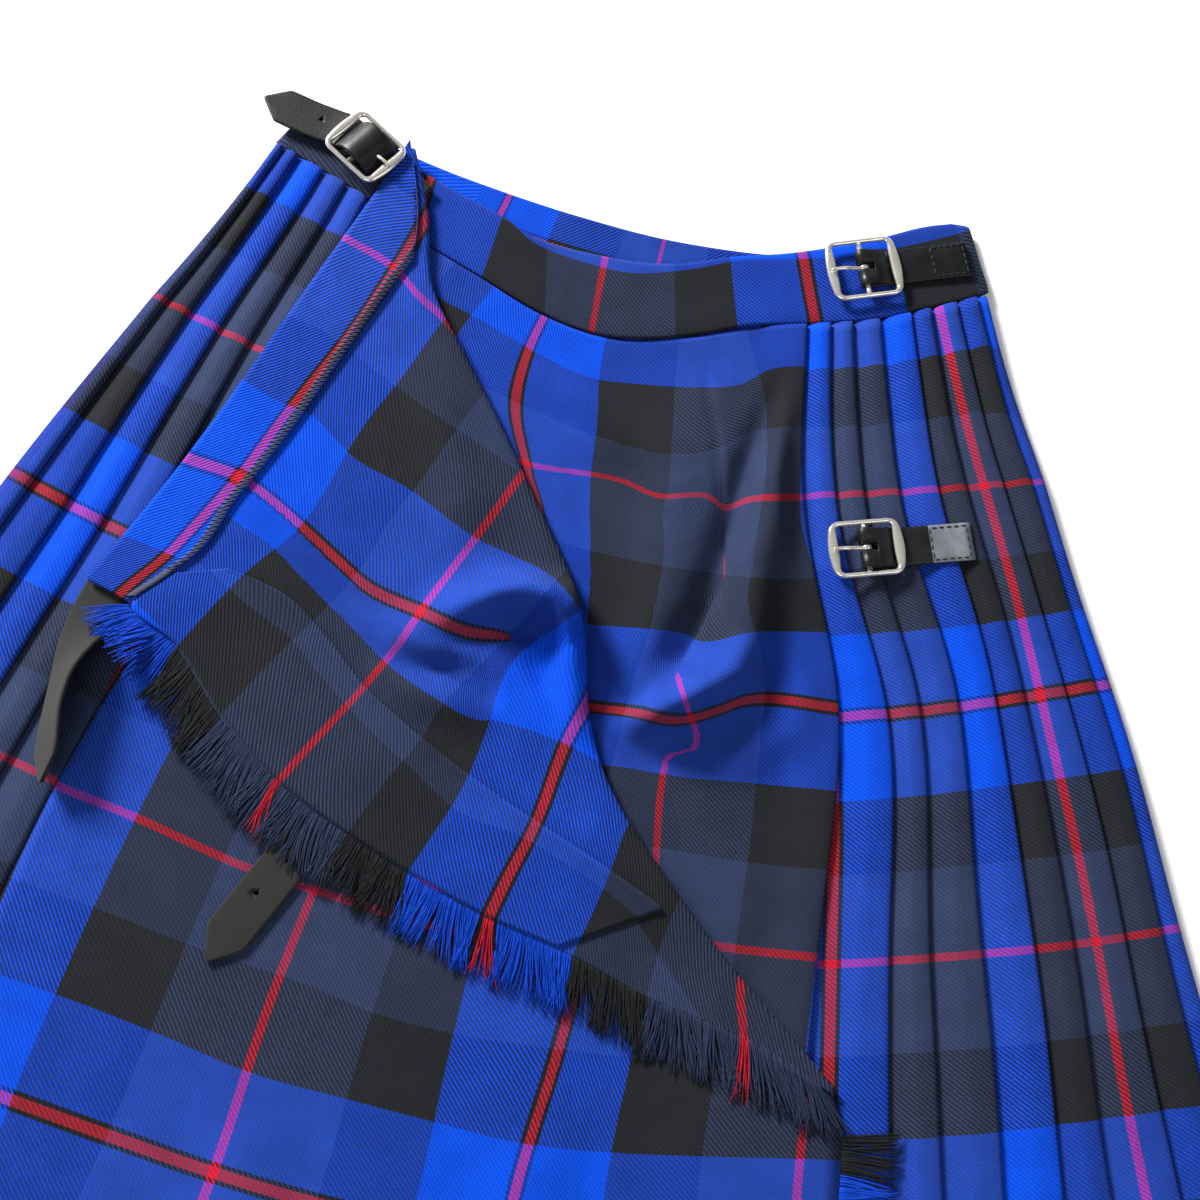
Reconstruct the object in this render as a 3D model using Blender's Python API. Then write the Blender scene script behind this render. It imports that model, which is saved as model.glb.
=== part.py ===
"""Plaid wrap skirt, unbuckled and laid flat, with the corner of its front apron folded back.

Tables and sizes are in millimetres on the lay plan, seen from above: +X to the right along the waist,
+Y towards the waist, Z up from the surface. place() turns a plan point into metres in the part's frame.
"""
import math

import bmesh
import bpy
import numpy as np
from mathutils import Matrix, Vector

MM = 0.001
UP = np.array((0.0, 0.0, 1.0))
PLAN_CENTRE = (2.5, -125.1)

# Driving dimensions
CLOTH = 1.0
PLY_GAP = 0.35
BAND = 1.6
SEAM_GAP = 0.3
BAND_GAP = 0.8
LEATHER = 1.8
TAB_LEATHER = 1.6
STRAP_WIDTH = 19.0
TAB_WIDTH = 17.8
SKIRT_LENGTH = 620.0
FRONT_SEAM_BLEND = 92.0
BACK_PLEATS = 20
PLEAT_DEPTH = 0.45
FOLD_LENGTH = 0.8
BACK_RISE = 4.0
PANEL_TUCK = 8.0
UNDER_START = 9.0
EDGE_FACING_ROWS = (6.1, 6.5, 7, 7.5, 8, 9, 10, 11, 12, 13, 13.8)
FACING_WIDTH = 37.0
LOCK_LENGTH = 23.0
FRINGE_BACKING = 2.5
FLAP_LOCKS = (6.6, 5.0)
HEM_LOCKS = (7.6, 5.6)
CORNER_LOCKS_X = -156.0
CORNER_LOCKS_SHARE = 0.7
CORNER_LOCKS_LEVEL = 13.6

# Heights of the cloth's plies, at mid wall
PLY = CLOTH + PLY_GAP
BACK_FACE = 0.5 * CLOTH
BACK_MID = BACK_FACE + PLY
BACK_INNER = BACK_MID + PLY
FRONT_INNER = BACK_INNER + PLY
FRONT_MID = FRONT_INNER + PLY
FRONT_FACE = FRONT_MID + PLY
FLAP_LEVEL = 9.4
WAIST_RISE = 0.5
SLIT_LEVEL = 0.5 * (FRONT_MID + FLAP_LEVEL) + WAIST_RISE
STRAP_BED = FRONT_MID + 0.5 * CLOTH + SEAM_GAP

MID_X = 20.0
ROW_STEPS = (0, 92, 200, 350, 620)


class Table:
    """Rows of numbers with named columns, read by a smooth curve through the first column."""

    def __init__(self, names, rows):
        self.names = names.split()
        self.rows = np.array(rows, dtype=float)

    def column(self, name):
        return self.rows[:, self.names.index(name)]

    def at(self, name, key):
        return smooth(self.rows[:, 0], self.column(name), key)


def smooth(keys, values, key):
    """Cubic curve through the given values, level with their ends outside them."""
    keys = np.asarray(keys, dtype=float)
    values = np.asarray(values, dtype=float)
    slopes = np.gradient(values, keys)
    key = min(max(key, keys[0]), keys[-1])
    i = min(max(int(np.searchsorted(keys, key)) - 1, 0), len(keys) - 2)
    span = keys[i + 1] - keys[i]
    t = (key - keys[i]) / span
    return float((2 * t ** 3 - 3 * t ** 2 + 1) * values[i] + (t ** 3 - 2 * t ** 2 + t) * span * slopes[i]
                 + (3 * t ** 2 - 2 * t ** 3) * values[i + 1] + (t ** 3 - t ** 2) * span * slopes[i + 1])


# The skirt's outline and panel edges at distances down from the waist seam
ROWS = Table("down mid_y rise_l rise_r side_l apron_l apron_r pleat_r side_r", [
    (-38, 187, 42, 34, -156, -113, 86, 97, 161),
    (0, 147, 43, 35, -168.5, -120, 91, 102, 174),
    (92, 55, 47, 40, -204, -140, 101, 115, 209),
    (197, -48, 56, 55, -241, -160, 130, 150, 247),
    (302, -148, 55, 57, -275, -184, 134.5, 164, 285),
    (407, -254, 62, 64, -310, -203, 139, 177, 320),
    (620, -467, 84, 84, -380, -238, 152, 205, 385),
])

# Front waist seam
SEAM = Table("x y", [
    (-170, 190), (-145, 180), (-120, 169.5), (-104, 160), (-87, 152), (-60, 141), (-32, 129.5), (0, 123.5),
    (40, 132), (65, 142), (91, 148.5), (125, 158.5), (151, 170.5), (176, 183),
])

# Share of the way from apron to side at which each fold edge lies, at the waist and below the hip
LEFT_EDGES_WAIST = (0.91, 0.75, 0.49, 0.24, 0.0)
LEFT_EDGES_HIP = (0.86, 0.64, 0.43, 0.23, 0.0)
RIGHT_EDGES_WAIST = (0.0, 0.14, 0.31, 0.505, 0.63, 0.79, 0.92)
RIGHT_EDGES_HIP = (0.0, 0.14, 0.31, 0.48, 0.61, 0.79, 0.92)

# Waistband: seam point, top point and height along the front, and along the back
BAND_FRONT = Table("seam_x top_x top_y z", [
    (-106, -101, 191, 4.85), (-87, -87, 185, 4.9), (-60, -57, 174, 5.0), (-32, -38, 166, 5.2),
    (0, 0, 163.5, 5.4), (34, 27, 167, 5.5), (62, 53, 176, 5.7), (91, 80, 184, 5.9), (125, 113, 197, 6.0),
    (152, 138, 210, 6.0), (168, 152, 215.3, 5.5),
])
BAND_BACK = Table("seam_x top_x top_y z", [
    (167, 152.5, 215.6, 0.8), (140, 128, 205.5, 0.8), (105, 100, 193, 0.8), (65, 70, 183.5, 0.8),
    (20, 22, 181, 0.8), (-25, -20, 184, 0.8), (-70, -63, 190, 0.8), (-108, -102, 198, 0.8),
    (-145, -137, 209, 0.8), (-161, -150, 212, 0.8),
])
BAND_LEFT = Table("seam_x top_x top_y z", [
    (-161, -150, 211.5, 4.8), (-148, -139, 210, 5.1), (-134, -126, 206.5, 5.1), (-118.3, -111.4, 202, 5.1),
])

# Folded apron corner: fold line, free edge, place on the left fold edge that the row starts from,
# how far the fold rolls outward and how far the free edge is lifted
FLAP = Table("row fold_x fold_y edge_x edge_y down roll lift", [
    (0, -103.5, 198, -106.5, 202, -37, 1.6, 0.0),
    (1, -90.5, 166, -117, 169, -4, 2.0, 0.0),
    (2, -81, 131, -133, 125, 32, 2.6, 0.0),
    (3, -60, 101, -147, 84, 68, 3.4, 0.0),
    (4, -41, 76, -161, 44, 103, 4.2, 0.0),
    (5, -24, 52, -177, 3, 138, 5.0, 0.6),
    (6, -6, 26, -193, -34, 170, 5.6, 2.4),
    (7, 6, 8, -172, -41, 192, 6.2, 2.6),
    (8, 14, -10, -149, -55, 212, 6.6, 0.8),
    (9, 20, -30, -125, -79, 232, 6.6, 0.0),
    (10, 25, -50, -96, -101, 251, 6.2, 0.0),
    (11, 34, -70, -65, -116, 269, 5.6, 0.0),
    (12, 46, -87, -34, -128, 284, 5.0, 0.0),
    (13, 61, -103, -2, -138.5, 298, 4.4, 0.0),
    (14, 80, -122, 37, -147.5, 312, 3.8, 0.0),
    (15, 103, -143, 70, -158, 324, 3.2, 0.0),
    (16, 127, -162, 104, -165, 334, 2.6, 0.0),
    (17, 150, -181, 141, -178, 343, 1.8, 0.0),
])
WAIST_EDGE_ROWS = (0.25, 6.0)
FRINGE_ROWS = (7.0, 17.0)

# Facing along the fringed edge: distance from that edge at which it starts and ends, along each row
EDGE_FACING = Table("row inset reach", [
    (6.1, 38.5, 57), (6.5, 22, 61), (7, 1.2, 64), (8, 1.2, 62), (9, 1.2, 63), (10, 1.2, 65), (11, 1.2, 63.5),
    (12, 1.2, 60.5), (13, 1.2, 55), (13.8, 1.2, 46),
])

# Over-apron's fringed edge below the folded corner
APRON_EDGE = Table("down x y", [
    (352, 153, -192), (440, 158, -280), (530, 163, -365), (620, 166, -446),
])

# Spacing of the over-apron's points: along its flat sheet, its folded corner and the roll between them
LOWER_SHARES = (0.0, 0.04, 0.16, 0.3, 0.45, 0.6, 0.72, 0.82, 0.91, 1.0)
FLAP_SHARES = (0.0, 0.08, 0.18, 0.3, 0.43, 0.57, 0.71, 0.86, 1.0)
ROLL_ANGLES = (-55.0, 0.0, 55.0)

# Soft folds: x, y, height and half width along each ridge or hollow
UNDER_FOLDS = [
    [(93, 128, 0, 9), (91, 95, 5, 11), (88, 50, 8, 12), (91, 5, 9, 14), (85, -26, 9, 13), (68, -48, 7, 11),
     (48, -58, 3, 9)],
    [(42, 112, 0, 12), (48, 60, 3, 13), (50, 5, 4, 13), (42, -32, 3, 11)],
    [(100, -80, 0, 14), (96, -150, 3, 16), (92, -300, 5, 20), (95, -440, 6, 22)],
]
FLAP_FOLDS = [
    [(-92, -6, 0, 13), (-62, 2, 5, 14), (-32, 8, 9, 15), (-4, 0, 11, 14), (9, -18, 9, 11), (12, -44, 3, 10)],
    [(-66, -36, 0, 9), (-42, -44, 3.5, 9), (-22, -54, 2, 9)],
    [(-78, 96, 0, 10), (-60, 62, 2.5, 12), (-44, 30, 3.5, 13), (-34, 12, 0, 12)],
    [(4, -88, 0, 10), (34, -100, 3, 10), (66, -122, 3, 9), (96, -143, 0.5, 8)],
]
LOWER_FOLDS = [
    [(-66, -160, 0, 16), (-70, -240, 3, 18), (-80, -350, 5, 22), (-88, -460, 6, 24)],
    [(40, -175, 0, 14), (36, -240, 4, 16), (30, -350, 5, 20), (28, -460, 6, 22)],
]

# Buckles: bar centre on the plan, level of the cloth under it, turn, frame size along and across the tab,
# tab length and bar height above the cloth
BUCKLES = {
    "left_waist": {"x": -125.0, "y": 191.5, "bed": 6.8, "turn": 146.0, "along": 31.0, "across": 26.5,
                   "tab": 22.0, "bar": 6.6},
    "right_waist": {"x": 113.3, "y": 180.3, "bed": 7.1, "turn": 19.5, "along": 32.0, "across": 30.6,
                    "tab": 51.5, "bar": 3.3},
    "right_hip": {"x": 131.5, "y": 44.8, "bed": 8.1, "turn": 16.0, "along": 30.8, "across": 26.2,
                  "tab": 48.5, "bar": 3.3},
}
FASTENED = ("left_waist",)
WIRE = 1.5
BAR_RADIUS = 1.2
PRONG_RADIUS = 0.8
EYE_RADIUS = 2.4
EYE_WIDTH = 2.2
SLOT_WIDTH = 4.4

COLOURS = {
    "cloth": ((0.03, 0.07, 0.30, 1.0), 0.85, 0.0),
    "band": ((0.02, 0.03, 0.10, 1.0), 0.85, 0.0),
    "facing": ((0.03, 0.05, 0.20, 1.0), 0.85, 0.0),
    "fringe": ((0.01, 0.04, 0.35, 1.0), 0.9, 0.0),
    "leather": ((0.012, 0.012, 0.013, 1.0), 0.45, 0.0),
    "metal": ((0.78, 0.76, 0.72, 1.0), 0.22, 1.0),
}


def clear_scene():
    for obj in list(bpy.data.objects):
        bpy.data.objects.remove(obj, do_unlink=True)


def material(name, kind):
    colour, roughness, metallic = COLOURS[kind]
    mat = bpy.data.materials.new(name)
    mat.use_nodes = True
    shader = mat.node_tree.nodes["Principled BSDF"]
    shader.inputs["Base Color"].default_value = colour
    shader.inputs["Roughness"].default_value = roughness
    shader.inputs["Metallic"].default_value = metallic
    return mat


def place(point):
    return Vector(((point[0] - PLAN_CENTRE[0]) * MM, (point[1] - PLAN_CENTRE[1]) * MM, point[2] * MM))


def new_object(name, bm, kind):
    """Make a named object of a closed mesh, with faces pointing out and its own material."""
    bmesh.ops.recalc_face_normals(bm, faces=bm.faces)
    mesh = bpy.data.meshes.new(name)
    bm.to_mesh(mesh)
    bm.free()
    mesh.materials.append(material(name + "_finish", kind))
    obj = bpy.data.objects.new(name, mesh)
    bpy.context.scene.collection.objects.link(obj)
    return obj


def grid_cells(rows, columns):
    cells = []
    for r in range(rows - 1):
        for c in range(columns - 1):
            i = r * columns + c
            cells.append((i, i + 1, i + columns + 1, i + columns))
    return cells


def cell_normals(points, cells):
    normals = np.zeros_like(points)
    for cell in cells:
        a, b, c, d = (points[i] for i in cell)
        normal = np.cross(c - a, d - b)
        length = np.linalg.norm(normal)
        if length > 0:
            for i in cell:
                normals[i] += normal / length
    lengths = np.linalg.norm(normals, axis=1)
    lengths[lengths == 0] = 1.0
    return normals / lengths[:, None]


def wall_mesh(points, cells, thickness):
    """Closed wall of even thickness on both sides of a sheet of four-sided cells."""
    points = np.asarray(points, dtype=float)
    normals = cell_normals(points, cells)
    bm = bmesh.new()
    used = sorted({i for cell in cells for i in cell})
    top = {i: bm.verts.new(points[i] + normals[i] * thickness / 2) for i in used}
    under = {i: bm.verts.new(points[i] - normals[i] * thickness / 2) for i in used}
    directed = set()
    for cell in cells:
        bm.faces.new([top[i] for i in cell])
        bm.faces.new([under[i] for i in reversed(cell)])
        directed.update(zip(cell, cell[1:] + cell[:1]))
    for a, b in sorted(directed):
        if (b, a) not in directed:
            bm.faces.new((top[b], top[a], under[a], under[b]))
    return bm


def cloth_wall(name, points, cells, thickness, kind):
    """Wall of a sheet whose points are on the lay plan."""
    return new_object(name, wall_mesh([place(p) for p in points], cells, thickness * MM), kind)


def plan_y(x, down):
    """Height on the plan of the thread that lies this far down the skirt."""
    side = "l" if x < MID_X else "r"
    reach = abs(x - MID_X) / abs(ROWS.at("side_" + side, down) - MID_X)
    power = 2.0 - 0.4 * min(max(down, 0.0) / FRONT_SEAM_BLEND, 1.0)
    return ROWS.at("mid_y", down) + ROWS.at("rise_" + side, down) * reach ** power


def front_y(x, down):
    """As plan_y, but starting from the front waist seam, which dips in the middle."""
    drop = SEAM.at("y", x) - plan_y(x, 0.0)
    return plan_y(x, down) + drop * max(0.0, 1.0 - max(down, 0.0) / FRONT_SEAM_BLEND)


def pleat_edges(side, down):
    t = min(down / ROW_STEPS[2], 1.0)
    if side == "left":
        start, end = ROWS.at("apron_l", down), ROWS.at("side_l", down)
        waist, hip = LEFT_EDGES_WAIST, LEFT_EDGES_HIP
    else:
        start, end = ROWS.at("pleat_r", down), ROWS.at("side_r", down)
        waist, hip = RIGHT_EDGES_WAIST, RIGHT_EDGES_HIP
    return [start + (end - start) * (a + (b - a) * t) for a, b in zip(waist, hip)]


def knife_pleats(edges, before, way, levels, lead_in):
    """Section of knife pleats: x and z along the cloth, each pleat folding over the next one.

    way is +1 or -1, the direction in which the fold edges point. before is the edge ahead of the first.
    lead_in is False where the cloth comes to the first pleat from a side fold.
    """
    face, mid, inner = levels
    path = []
    for edge in edges:
        own = PLEAT_DEPTH * abs(edge - before)
        if lead_in:
            path.append((before + way * SEAM_GAP, inner))
            path.append((edge - way * own if face > inner else before + way * BACK_RISE, face))
        fold, turn = edge - way * FOLD_LENGTH, edge - way * (own - FOLD_LENGTH)
        path += [(fold, face), (edge, 0.5 * (face + mid)), (fold, mid),
                 (turn, mid), (edge - way * own, 0.5 * (mid + inner)), (turn, inner)]
        before, lead_in = edge, True
    return path


def pleated_section(down):
    """Round of the pleated panel at one row: x, z and how far each point's y is that of the back."""
    front = (FRONT_FACE, FRONT_MID, FRONT_INNER)
    back = (BACK_FACE, BACK_MID, BACK_INNER)
    right = pleat_edges("right", down)
    left = pleat_edges("left", down)
    side_r, side_l = ROWS.at("side_r", down), ROWS.at("side_l", down)
    apron_r = ROWS.at("apron_r", down)
    path = [(apron_r - PANEL_TUCK, FRONT_INNER, 0.0)]
    path += [(x, z, 0.0) for x, z in knife_pleats(right, apron_r, 1, front, lead_in=True)]
    last = right[-1]
    path += [(last + SEAM_GAP, FRONT_INNER, 0.0), (last + 0.5 * (side_r - last), FRONT_INNER + 0.6, 0.0),
             (side_r - 1.2, FRONT_INNER - 0.5, 0.2), (side_r, 2.5, 0.5), (side_r - 1.2, 0.8, 0.8)]
    step = (side_l - side_r) / BACK_PLEATS
    behind = [side_r + step * (j + 0.5) for j in range(BACK_PLEATS)]
    path += [(x, z, 1.0) for x, z in knife_pleats(behind, side_r, -1, back, lead_in=False)]
    last = behind[-1]
    path += [(last - SEAM_GAP, BACK_INNER, 1.0), (last - BACK_RISE, BACK_FACE, 1.0),
             (side_l + 1.4, 0.7, 0.8), (side_l, 2.6, 0.5), (side_l + 0.6, 5.0, 0.2)]
    path += [(x, z, 0.0) for x, z in knife_pleats(left, side_l, 1, front, lead_in=False)[:-2]]
    return path


def build_pleated_panel():
    points = []
    for down in ROW_STEPS:
        section = pleated_section(down)
        for x, z, back in section:
            y = front_y(x, down) * (1.0 - back) + plan_y(x, down) * back
            points.append((x, y, z))
    return cloth_wall("pleated_panel", points, grid_cells(len(ROW_STEPS), len(section)), CLOTH, "cloth")


def soft_folds(folds, x, y):
    """Height of the soft folds at a plan point."""
    height = 0.0
    for ridge in folds:
        best = None
        for (ax, ay, ah, aw), (bx, by, bh, bw) in zip(ridge, ridge[1:]):
            dx, dy = bx - ax, by - ay
            t = min(max(((x - ax) * dx + (y - ay) * dy) / (dx * dx + dy * dy), 0.0), 1.0)
            away = math.hypot(x - ax - t * dx, y - ay - t * dy)
            if best is None or away < best[0]:
                best = (away, ah + t * (bh - ah), aw + t * (bw - aw))
        height += best[1] * math.exp(-(best[0] / best[2]) ** 2)
    return height


def step_up(x, start, end):
    t = min(max((x - start) / (end - start), 0.0), 1.0)
    return t * t * (3.0 - 2.0 * t)


def under_level(x, down):
    """Mid height of the under-apron without its soft folds: it climbs onto the first pleat."""
    edge = ROWS.at("apron_r", down)
    return FRONT_INNER + (FRONT_FACE - FRONT_INNER) * step_up(x, edge - 24.0, edge - 3.0)


def build_under_apron():
    steps = list(range(0, 300, 22)) + [310, 350, 400, 460, 530, SKIRT_LENGTH]
    shares = np.linspace(0.0, 1.0, 16)
    points = []
    for down in steps:
        start = ROWS.at("apron_l", down) + UNDER_START
        edge = ROWS.at("apron_r", down)
        for share in shares:
            x = start + (edge - FOLD_LENGTH - start) * share
            y = front_y(x, down)
            fade = step_up(fold_side(x, y), 2.0, 26.0) * step_up(edge - x, 0.0, 14.0)
            fade *= step_up(down, 4.0, 40.0)
            points.append((x, y, under_level(x, down) + fade * soft_folds(UNDER_FOLDS, x, y)))
        for x, z in ((edge, 0.5 * (FRONT_FACE + FRONT_MID)), (edge - FOLD_LENGTH, FRONT_MID),
                     (edge - PANEL_TUCK, FRONT_MID)):
            points.append((x, front_y(x, down), z))
    cells = grid_cells(len(steps), len(shares) + 3)
    return cloth_wall("under_apron", points, cells, CLOTH, "cloth")


def fold_side(x, y):
    """Distance of a plan point from the over-apron's right edge, positive over the bare under-apron."""
    edge_y = list(FLAP.column("fold_y")) + list(APRON_EDGE.column("y"))
    edge_x = list(FLAP.column("fold_x")) + list(APRON_EDGE.column("x") + LOCK_LENGTH)
    return 0.8 * (x - np.interp(-y, np.negative(edge_y), edge_x))


def waist_rise(y):
    """Extra height at the waist, where the over-apron lies on the band."""
    return WAIST_RISE * step_up(y, 138.0, 158.0)


def lower_level(x, y):
    """Mid height of the over-apron where it lies right side up: it climbs over the first right pleat."""
    edge = ROWS.at("apron_r", max(ROWS.at("mid_y", 0.0) - y, 0.0))
    climb = (FRONT_FACE + PLY + 0.1 - FRONT_MID) * step_up(x, edge - 62.0, edge - 34.0)
    return FRONT_MID + climb + waist_rise(y) + step_up(-185.0 - y, 0.0, 90.0) * soft_folds(LOWER_FOLDS, x, y)


def flap_row(row):
    """Fold point, outward direction, free edge and sizes of the folded corner at a row number."""
    fold = np.array((FLAP.at("fold_x", row), FLAP.at("fold_y", row)))
    ahead = np.array((FLAP.at("fold_x", row + 0.05), FLAP.at("fold_y", row + 0.05)))
    behind = np.array((FLAP.at("fold_x", row - 0.05), FLAP.at("fold_y", row - 0.05)))
    along = (ahead - behind) / np.linalg.norm(ahead - behind)
    out = np.array((-along[1], along[0]))
    edge = np.array((FLAP.at("edge_x", row), FLAP.at("edge_y", row)))
    return fold, out, edge, FLAP.at("roll", row), FLAP.at("lift", row)


def flap_level(x, y, lift, share):
    level = max(FLAP_LEVEL + waist_rise(y), lower_level(x, y) + PLY + 0.1)
    return level + lift * share ** 2 + soft_folds(FLAP_FOLDS, x, y)


def flap_point(row, share):
    """Mid-wall point of the folded corner: share 0 at its fold line, 1 at its free edge."""
    whole = min(int(row), len(FLAP.rows) - 2)
    near, far = (flap_row_point(whole + k, share) for k in (0, 1))
    return near + (far - near) * (row - whole)


def flap_row_point(row, share):
    fold, out, edge, roll, lift = flap_row(row)
    start = fold - out * roll
    x, y = start + (edge - start) * share
    return np.array((x, y, flap_level(x, y, lift, share)))


def apron_start(down):
    """First point of an over-apron row, beside the last left pleat or, above the seam, beside the band."""
    if down < 0.0:
        x = ROWS.at("apron_l", down) + 3.0
        return (x, SEAM.at("y", x) - down, FRONT_MID + WAIST_RISE)
    edges = [(ROWS.at("apron_l", d), d) for d in ROW_STEPS]
    x = np.interp(down, ROW_STEPS, [e for e, _ in edges])
    y = np.interp(down, ROW_STEPS, [front_y(e, d) for e, d in edges])
    return (x + 0.7, y, FRONT_MID + waist_rise(y))


def build_over_apron():
    rows = [apron_row_to_fold(row) for row in FLAP.column("row")]
    full = len(rows[0])
    lower_count = len(LOWER_SHARES)
    for down, x, y in APRON_EDGE.rows:
        rows.append(apron_row_lower(down, np.array((x, y))))
    points, cells = [], []
    for row in rows:
        points += row + [row[-1]] * (full - len(row))
    for r in range(len(rows) - 1):
        folded = r + 1 < len(FLAP.rows)
        for c in range(full - 1 if folded else lower_count - 1):
            i = r * full + c
            cells.append((i, i + 1, i + full + 1, i + full))
    apron = cloth_wall("over_apron", points, cells, CLOTH, "cloth")
    spec = BUCKLES["left_waist"]
    slit = box("slit_tool", (26.0, STRAP_WIDTH + 2.4, LEATHER + 2 * SEAM_GAP), "leather", buckle_matrix(spec),
               (-29.5, -0.4, SLIT_LEVEL - spec["bed"]))
    add_boolean(apron, slit, "DIFFERENCE")
    return apron


def apron_row_lower(down, end):
    """One row of the over-apron's underlying sheet, along the cloth's threads to the given end point."""
    start = apron_start(down)
    row = [start]
    first = np.array(start[:2])
    end_down = thread_through(end)
    for share in LOWER_SHARES[1:]:
        x, y = first + (end - first) * share
        if down >= 0.0 and end_down > 0.0:
            y = front_y(x, down + (end_down - down) * share)
            y += (1.0 - share) * (first[1] - front_y(first[0], down))
        row.append((x, y, lower_level(x, y)))
    return row


def thread_through(point):
    """How far down the skirt the thread through a plan point lies."""
    low, high = -40.0, SKIRT_LENGTH
    for _ in range(30):
        down = 0.5 * (low + high)
        if front_y(point[0], down) > point[1]:
            low = down
        else:
            high = down
    return 0.5 * (low + high)


def apron_row_to_fold(number):
    fold, out, _, roll, _ = flap_row(number)
    row = apron_row_lower(FLAP.at("down", number), fold - out * roll)
    low = row[-1][2]
    high = flap_point(number, 0.0)[2]
    for angle in ROLL_ANGLES:
        turn = math.radians(angle)
        x, y = fold - out * roll * (1.0 - math.cos(turn))
        row.append((x, y, 0.5 * (low + high) + 0.5 * (high - low) * math.sin(turn)))
    row += [tuple(flap_point(number, share)) for share in FLAP_SHARES]
    return row


def edge_strip(name, rows, columns, kind):
    """Facing on the folded corner along its free edge, made from the corner's points moved up.

    Each row has its row number, its distance from the free edge and how far in it reaches.
    """
    points = []
    for row, inset, width in rows:
        length = np.linalg.norm((flap_point(row, 1.0) - flap_point(row, 0.0))[:2])
        for c in range(columns):
            away = min(inset + (width - inset) * c / (columns - 1), 0.9 * length)
            points.append(flap_point(row, 1.0 - away / length) + UP * (PLY + 0.15))
    return cloth_wall(name, points, grid_cells(len(rows), columns), CLOTH, kind)


def build_facings():
    first, last = WAIST_EDGE_ROWS
    waist_rows = [(row, 0.6, FACING_WIDTH) for row in np.linspace(first, last, 12)]
    edge_strip("flap_waist_facing", waist_rows, 4, "facing")
    edge_rows = []
    for row in EDGE_FACING_ROWS:
        edge_rows.append((row, EDGE_FACING.at("inset", row), EDGE_FACING.at("reach", row)))
    edge_strip("flap_edge_facing", edge_rows, 5, "facing")


def build_waistband():
    stations = []
    for i in range(2 * len(BAND_FRONT.rows) - 1):
        seam_x, top_x, top_y, z = 0.5 * (BAND_FRONT.rows[i // 2] + BAND_FRONT.rows[(i + 1) // 2])
        stations.append(((seam_x, SEAM.at("y", seam_x) + BAND_GAP, z), (top_x, top_y, z)))
    stations.append(((ROWS.at("side_r", 0.0), 184.5, 3.6), (ROWS.at("side_r", -38), 216.5, 3.6)))
    for seam_x, top_x, top_y, z in BAND_BACK.rows:
        stations.append(((seam_x, plan_y(seam_x, 0.0) + BAND_GAP, z), (top_x, top_y, z)))
    stations.append(((ROWS.at("side_l", 0.0), 190.8, 3.4), (ROWS.at("side_l", -38) - 0.5, 214.5, 3.4)))
    for seam_x, top_x, top_y, z in BAND_LEFT.rows:
        stations.append(((seam_x, SEAM.at("y", seam_x) + BAND_GAP, z), (top_x, top_y, z)))
    points = []
    for low, high in stations:
        low, high = np.array(low), np.array(high)
        points += [low, 0.5 * (low + high), high]
    return cloth_wall("waistband", points, grid_cells(len(stations), 3), BAND, "band")


def build_fringe(name, root, outward, drop, pitch, lock_width):
    """Narrow strip along a cloth edge with tapered locks fused to it.

    root(t) gives the edge point for t from 0 to 1, outward(t) the locks' direction on the plan and
    drop(point) the height at which their ends lie.
    """
    samples = [root(k / 60) for k in range(61)]
    length = sum(np.linalg.norm(b - a) for a, b in zip(samples, samples[1:]))
    count = int(length / pitch)
    half = 0.5 * lock_width / length
    bm = bmesh.new()
    stations = [(k + 0.5) / count + side for k in range(count) for side in (-half, half)]
    rings = []
    for t in stations:
        inner = root(t) + outward(t) * (0.5 * CLOTH + SEAM_GAP)
        outer = inner + outward(t) * FRINGE_BACKING
        half_wall = UP * CLOTH / 2
        ring = [inner - half_wall, outer - half_wall, outer + half_wall, inner + half_wall]
        rings.append([bm.verts.new(place(p)) for p in ring])
    bm.faces.new(rings[0])
    bm.faces.new(reversed(rings[-1]))
    for i, (a, b) in enumerate(zip(rings, rings[1:])):
        is_lock = i % 2 == 0
        for c in range(4):
            if c != 1 or not is_lock:
                bm.faces.new((a[c], a[(c + 1) % 4], b[(c + 1) % 4], b[c]))
        if is_lock:
            t = 0.5 * (stations[i] + stations[i + 1])
            add_lock(bm, (a[1], b[1], b[2], a[2]), root(t), outward(t), drop, lock_width, i // 2)
    return new_object(name, bm, "fringe")


def add_lock(bm, root_verts, base, away, drop, lock_width, number):
    """One lock: a four-sided bundle that bends down a little and tapers to its tip."""
    side = np.array((-away[1], away[0], 0.0))
    if np.dot(side, np.array(root_verts[1].co - root_verts[0].co)) < 0:
        side = -side
    sway = 1.6 * math.sin(1.9 * number)
    reach = LOCK_LENGTH * (0.92 + 0.08 * math.sin(2.7 * number + 1.0))
    if base[0] < CORNER_LOCKS_X:
        reach *= CORNER_LOCKS_SHARE
    start = 0.5 * CLOTH + SEAM_GAP + FRINGE_BACKING
    previous = root_verts
    for share, width, thick in ((0.55, 0.84, 0.9), (1.0, 0.32, 0.5)):
        centre = base + away * (start + (reach - start) * share) + side * sway * share
        centre[2] = base[2] + (drop(centre) - base[2]) * share
        across, above = 0.5 * lock_width * width * side, 0.5 * thick * UP
        ring = [centre - across - above, centre + across - above, centre + across + above,
                centre - across + above]
        ring = [bm.verts.new(place(p)) for p in ring]
        for c in range(4):
            bm.faces.new((previous[c], previous[(c + 1) % 4], ring[(c + 1) % 4], ring[c]))
        previous = ring
    bm.faces.new(previous)


def unit(x, y):
    length = math.hypot(x, y)
    return np.array((x / length, y / length, 0.0))


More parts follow.
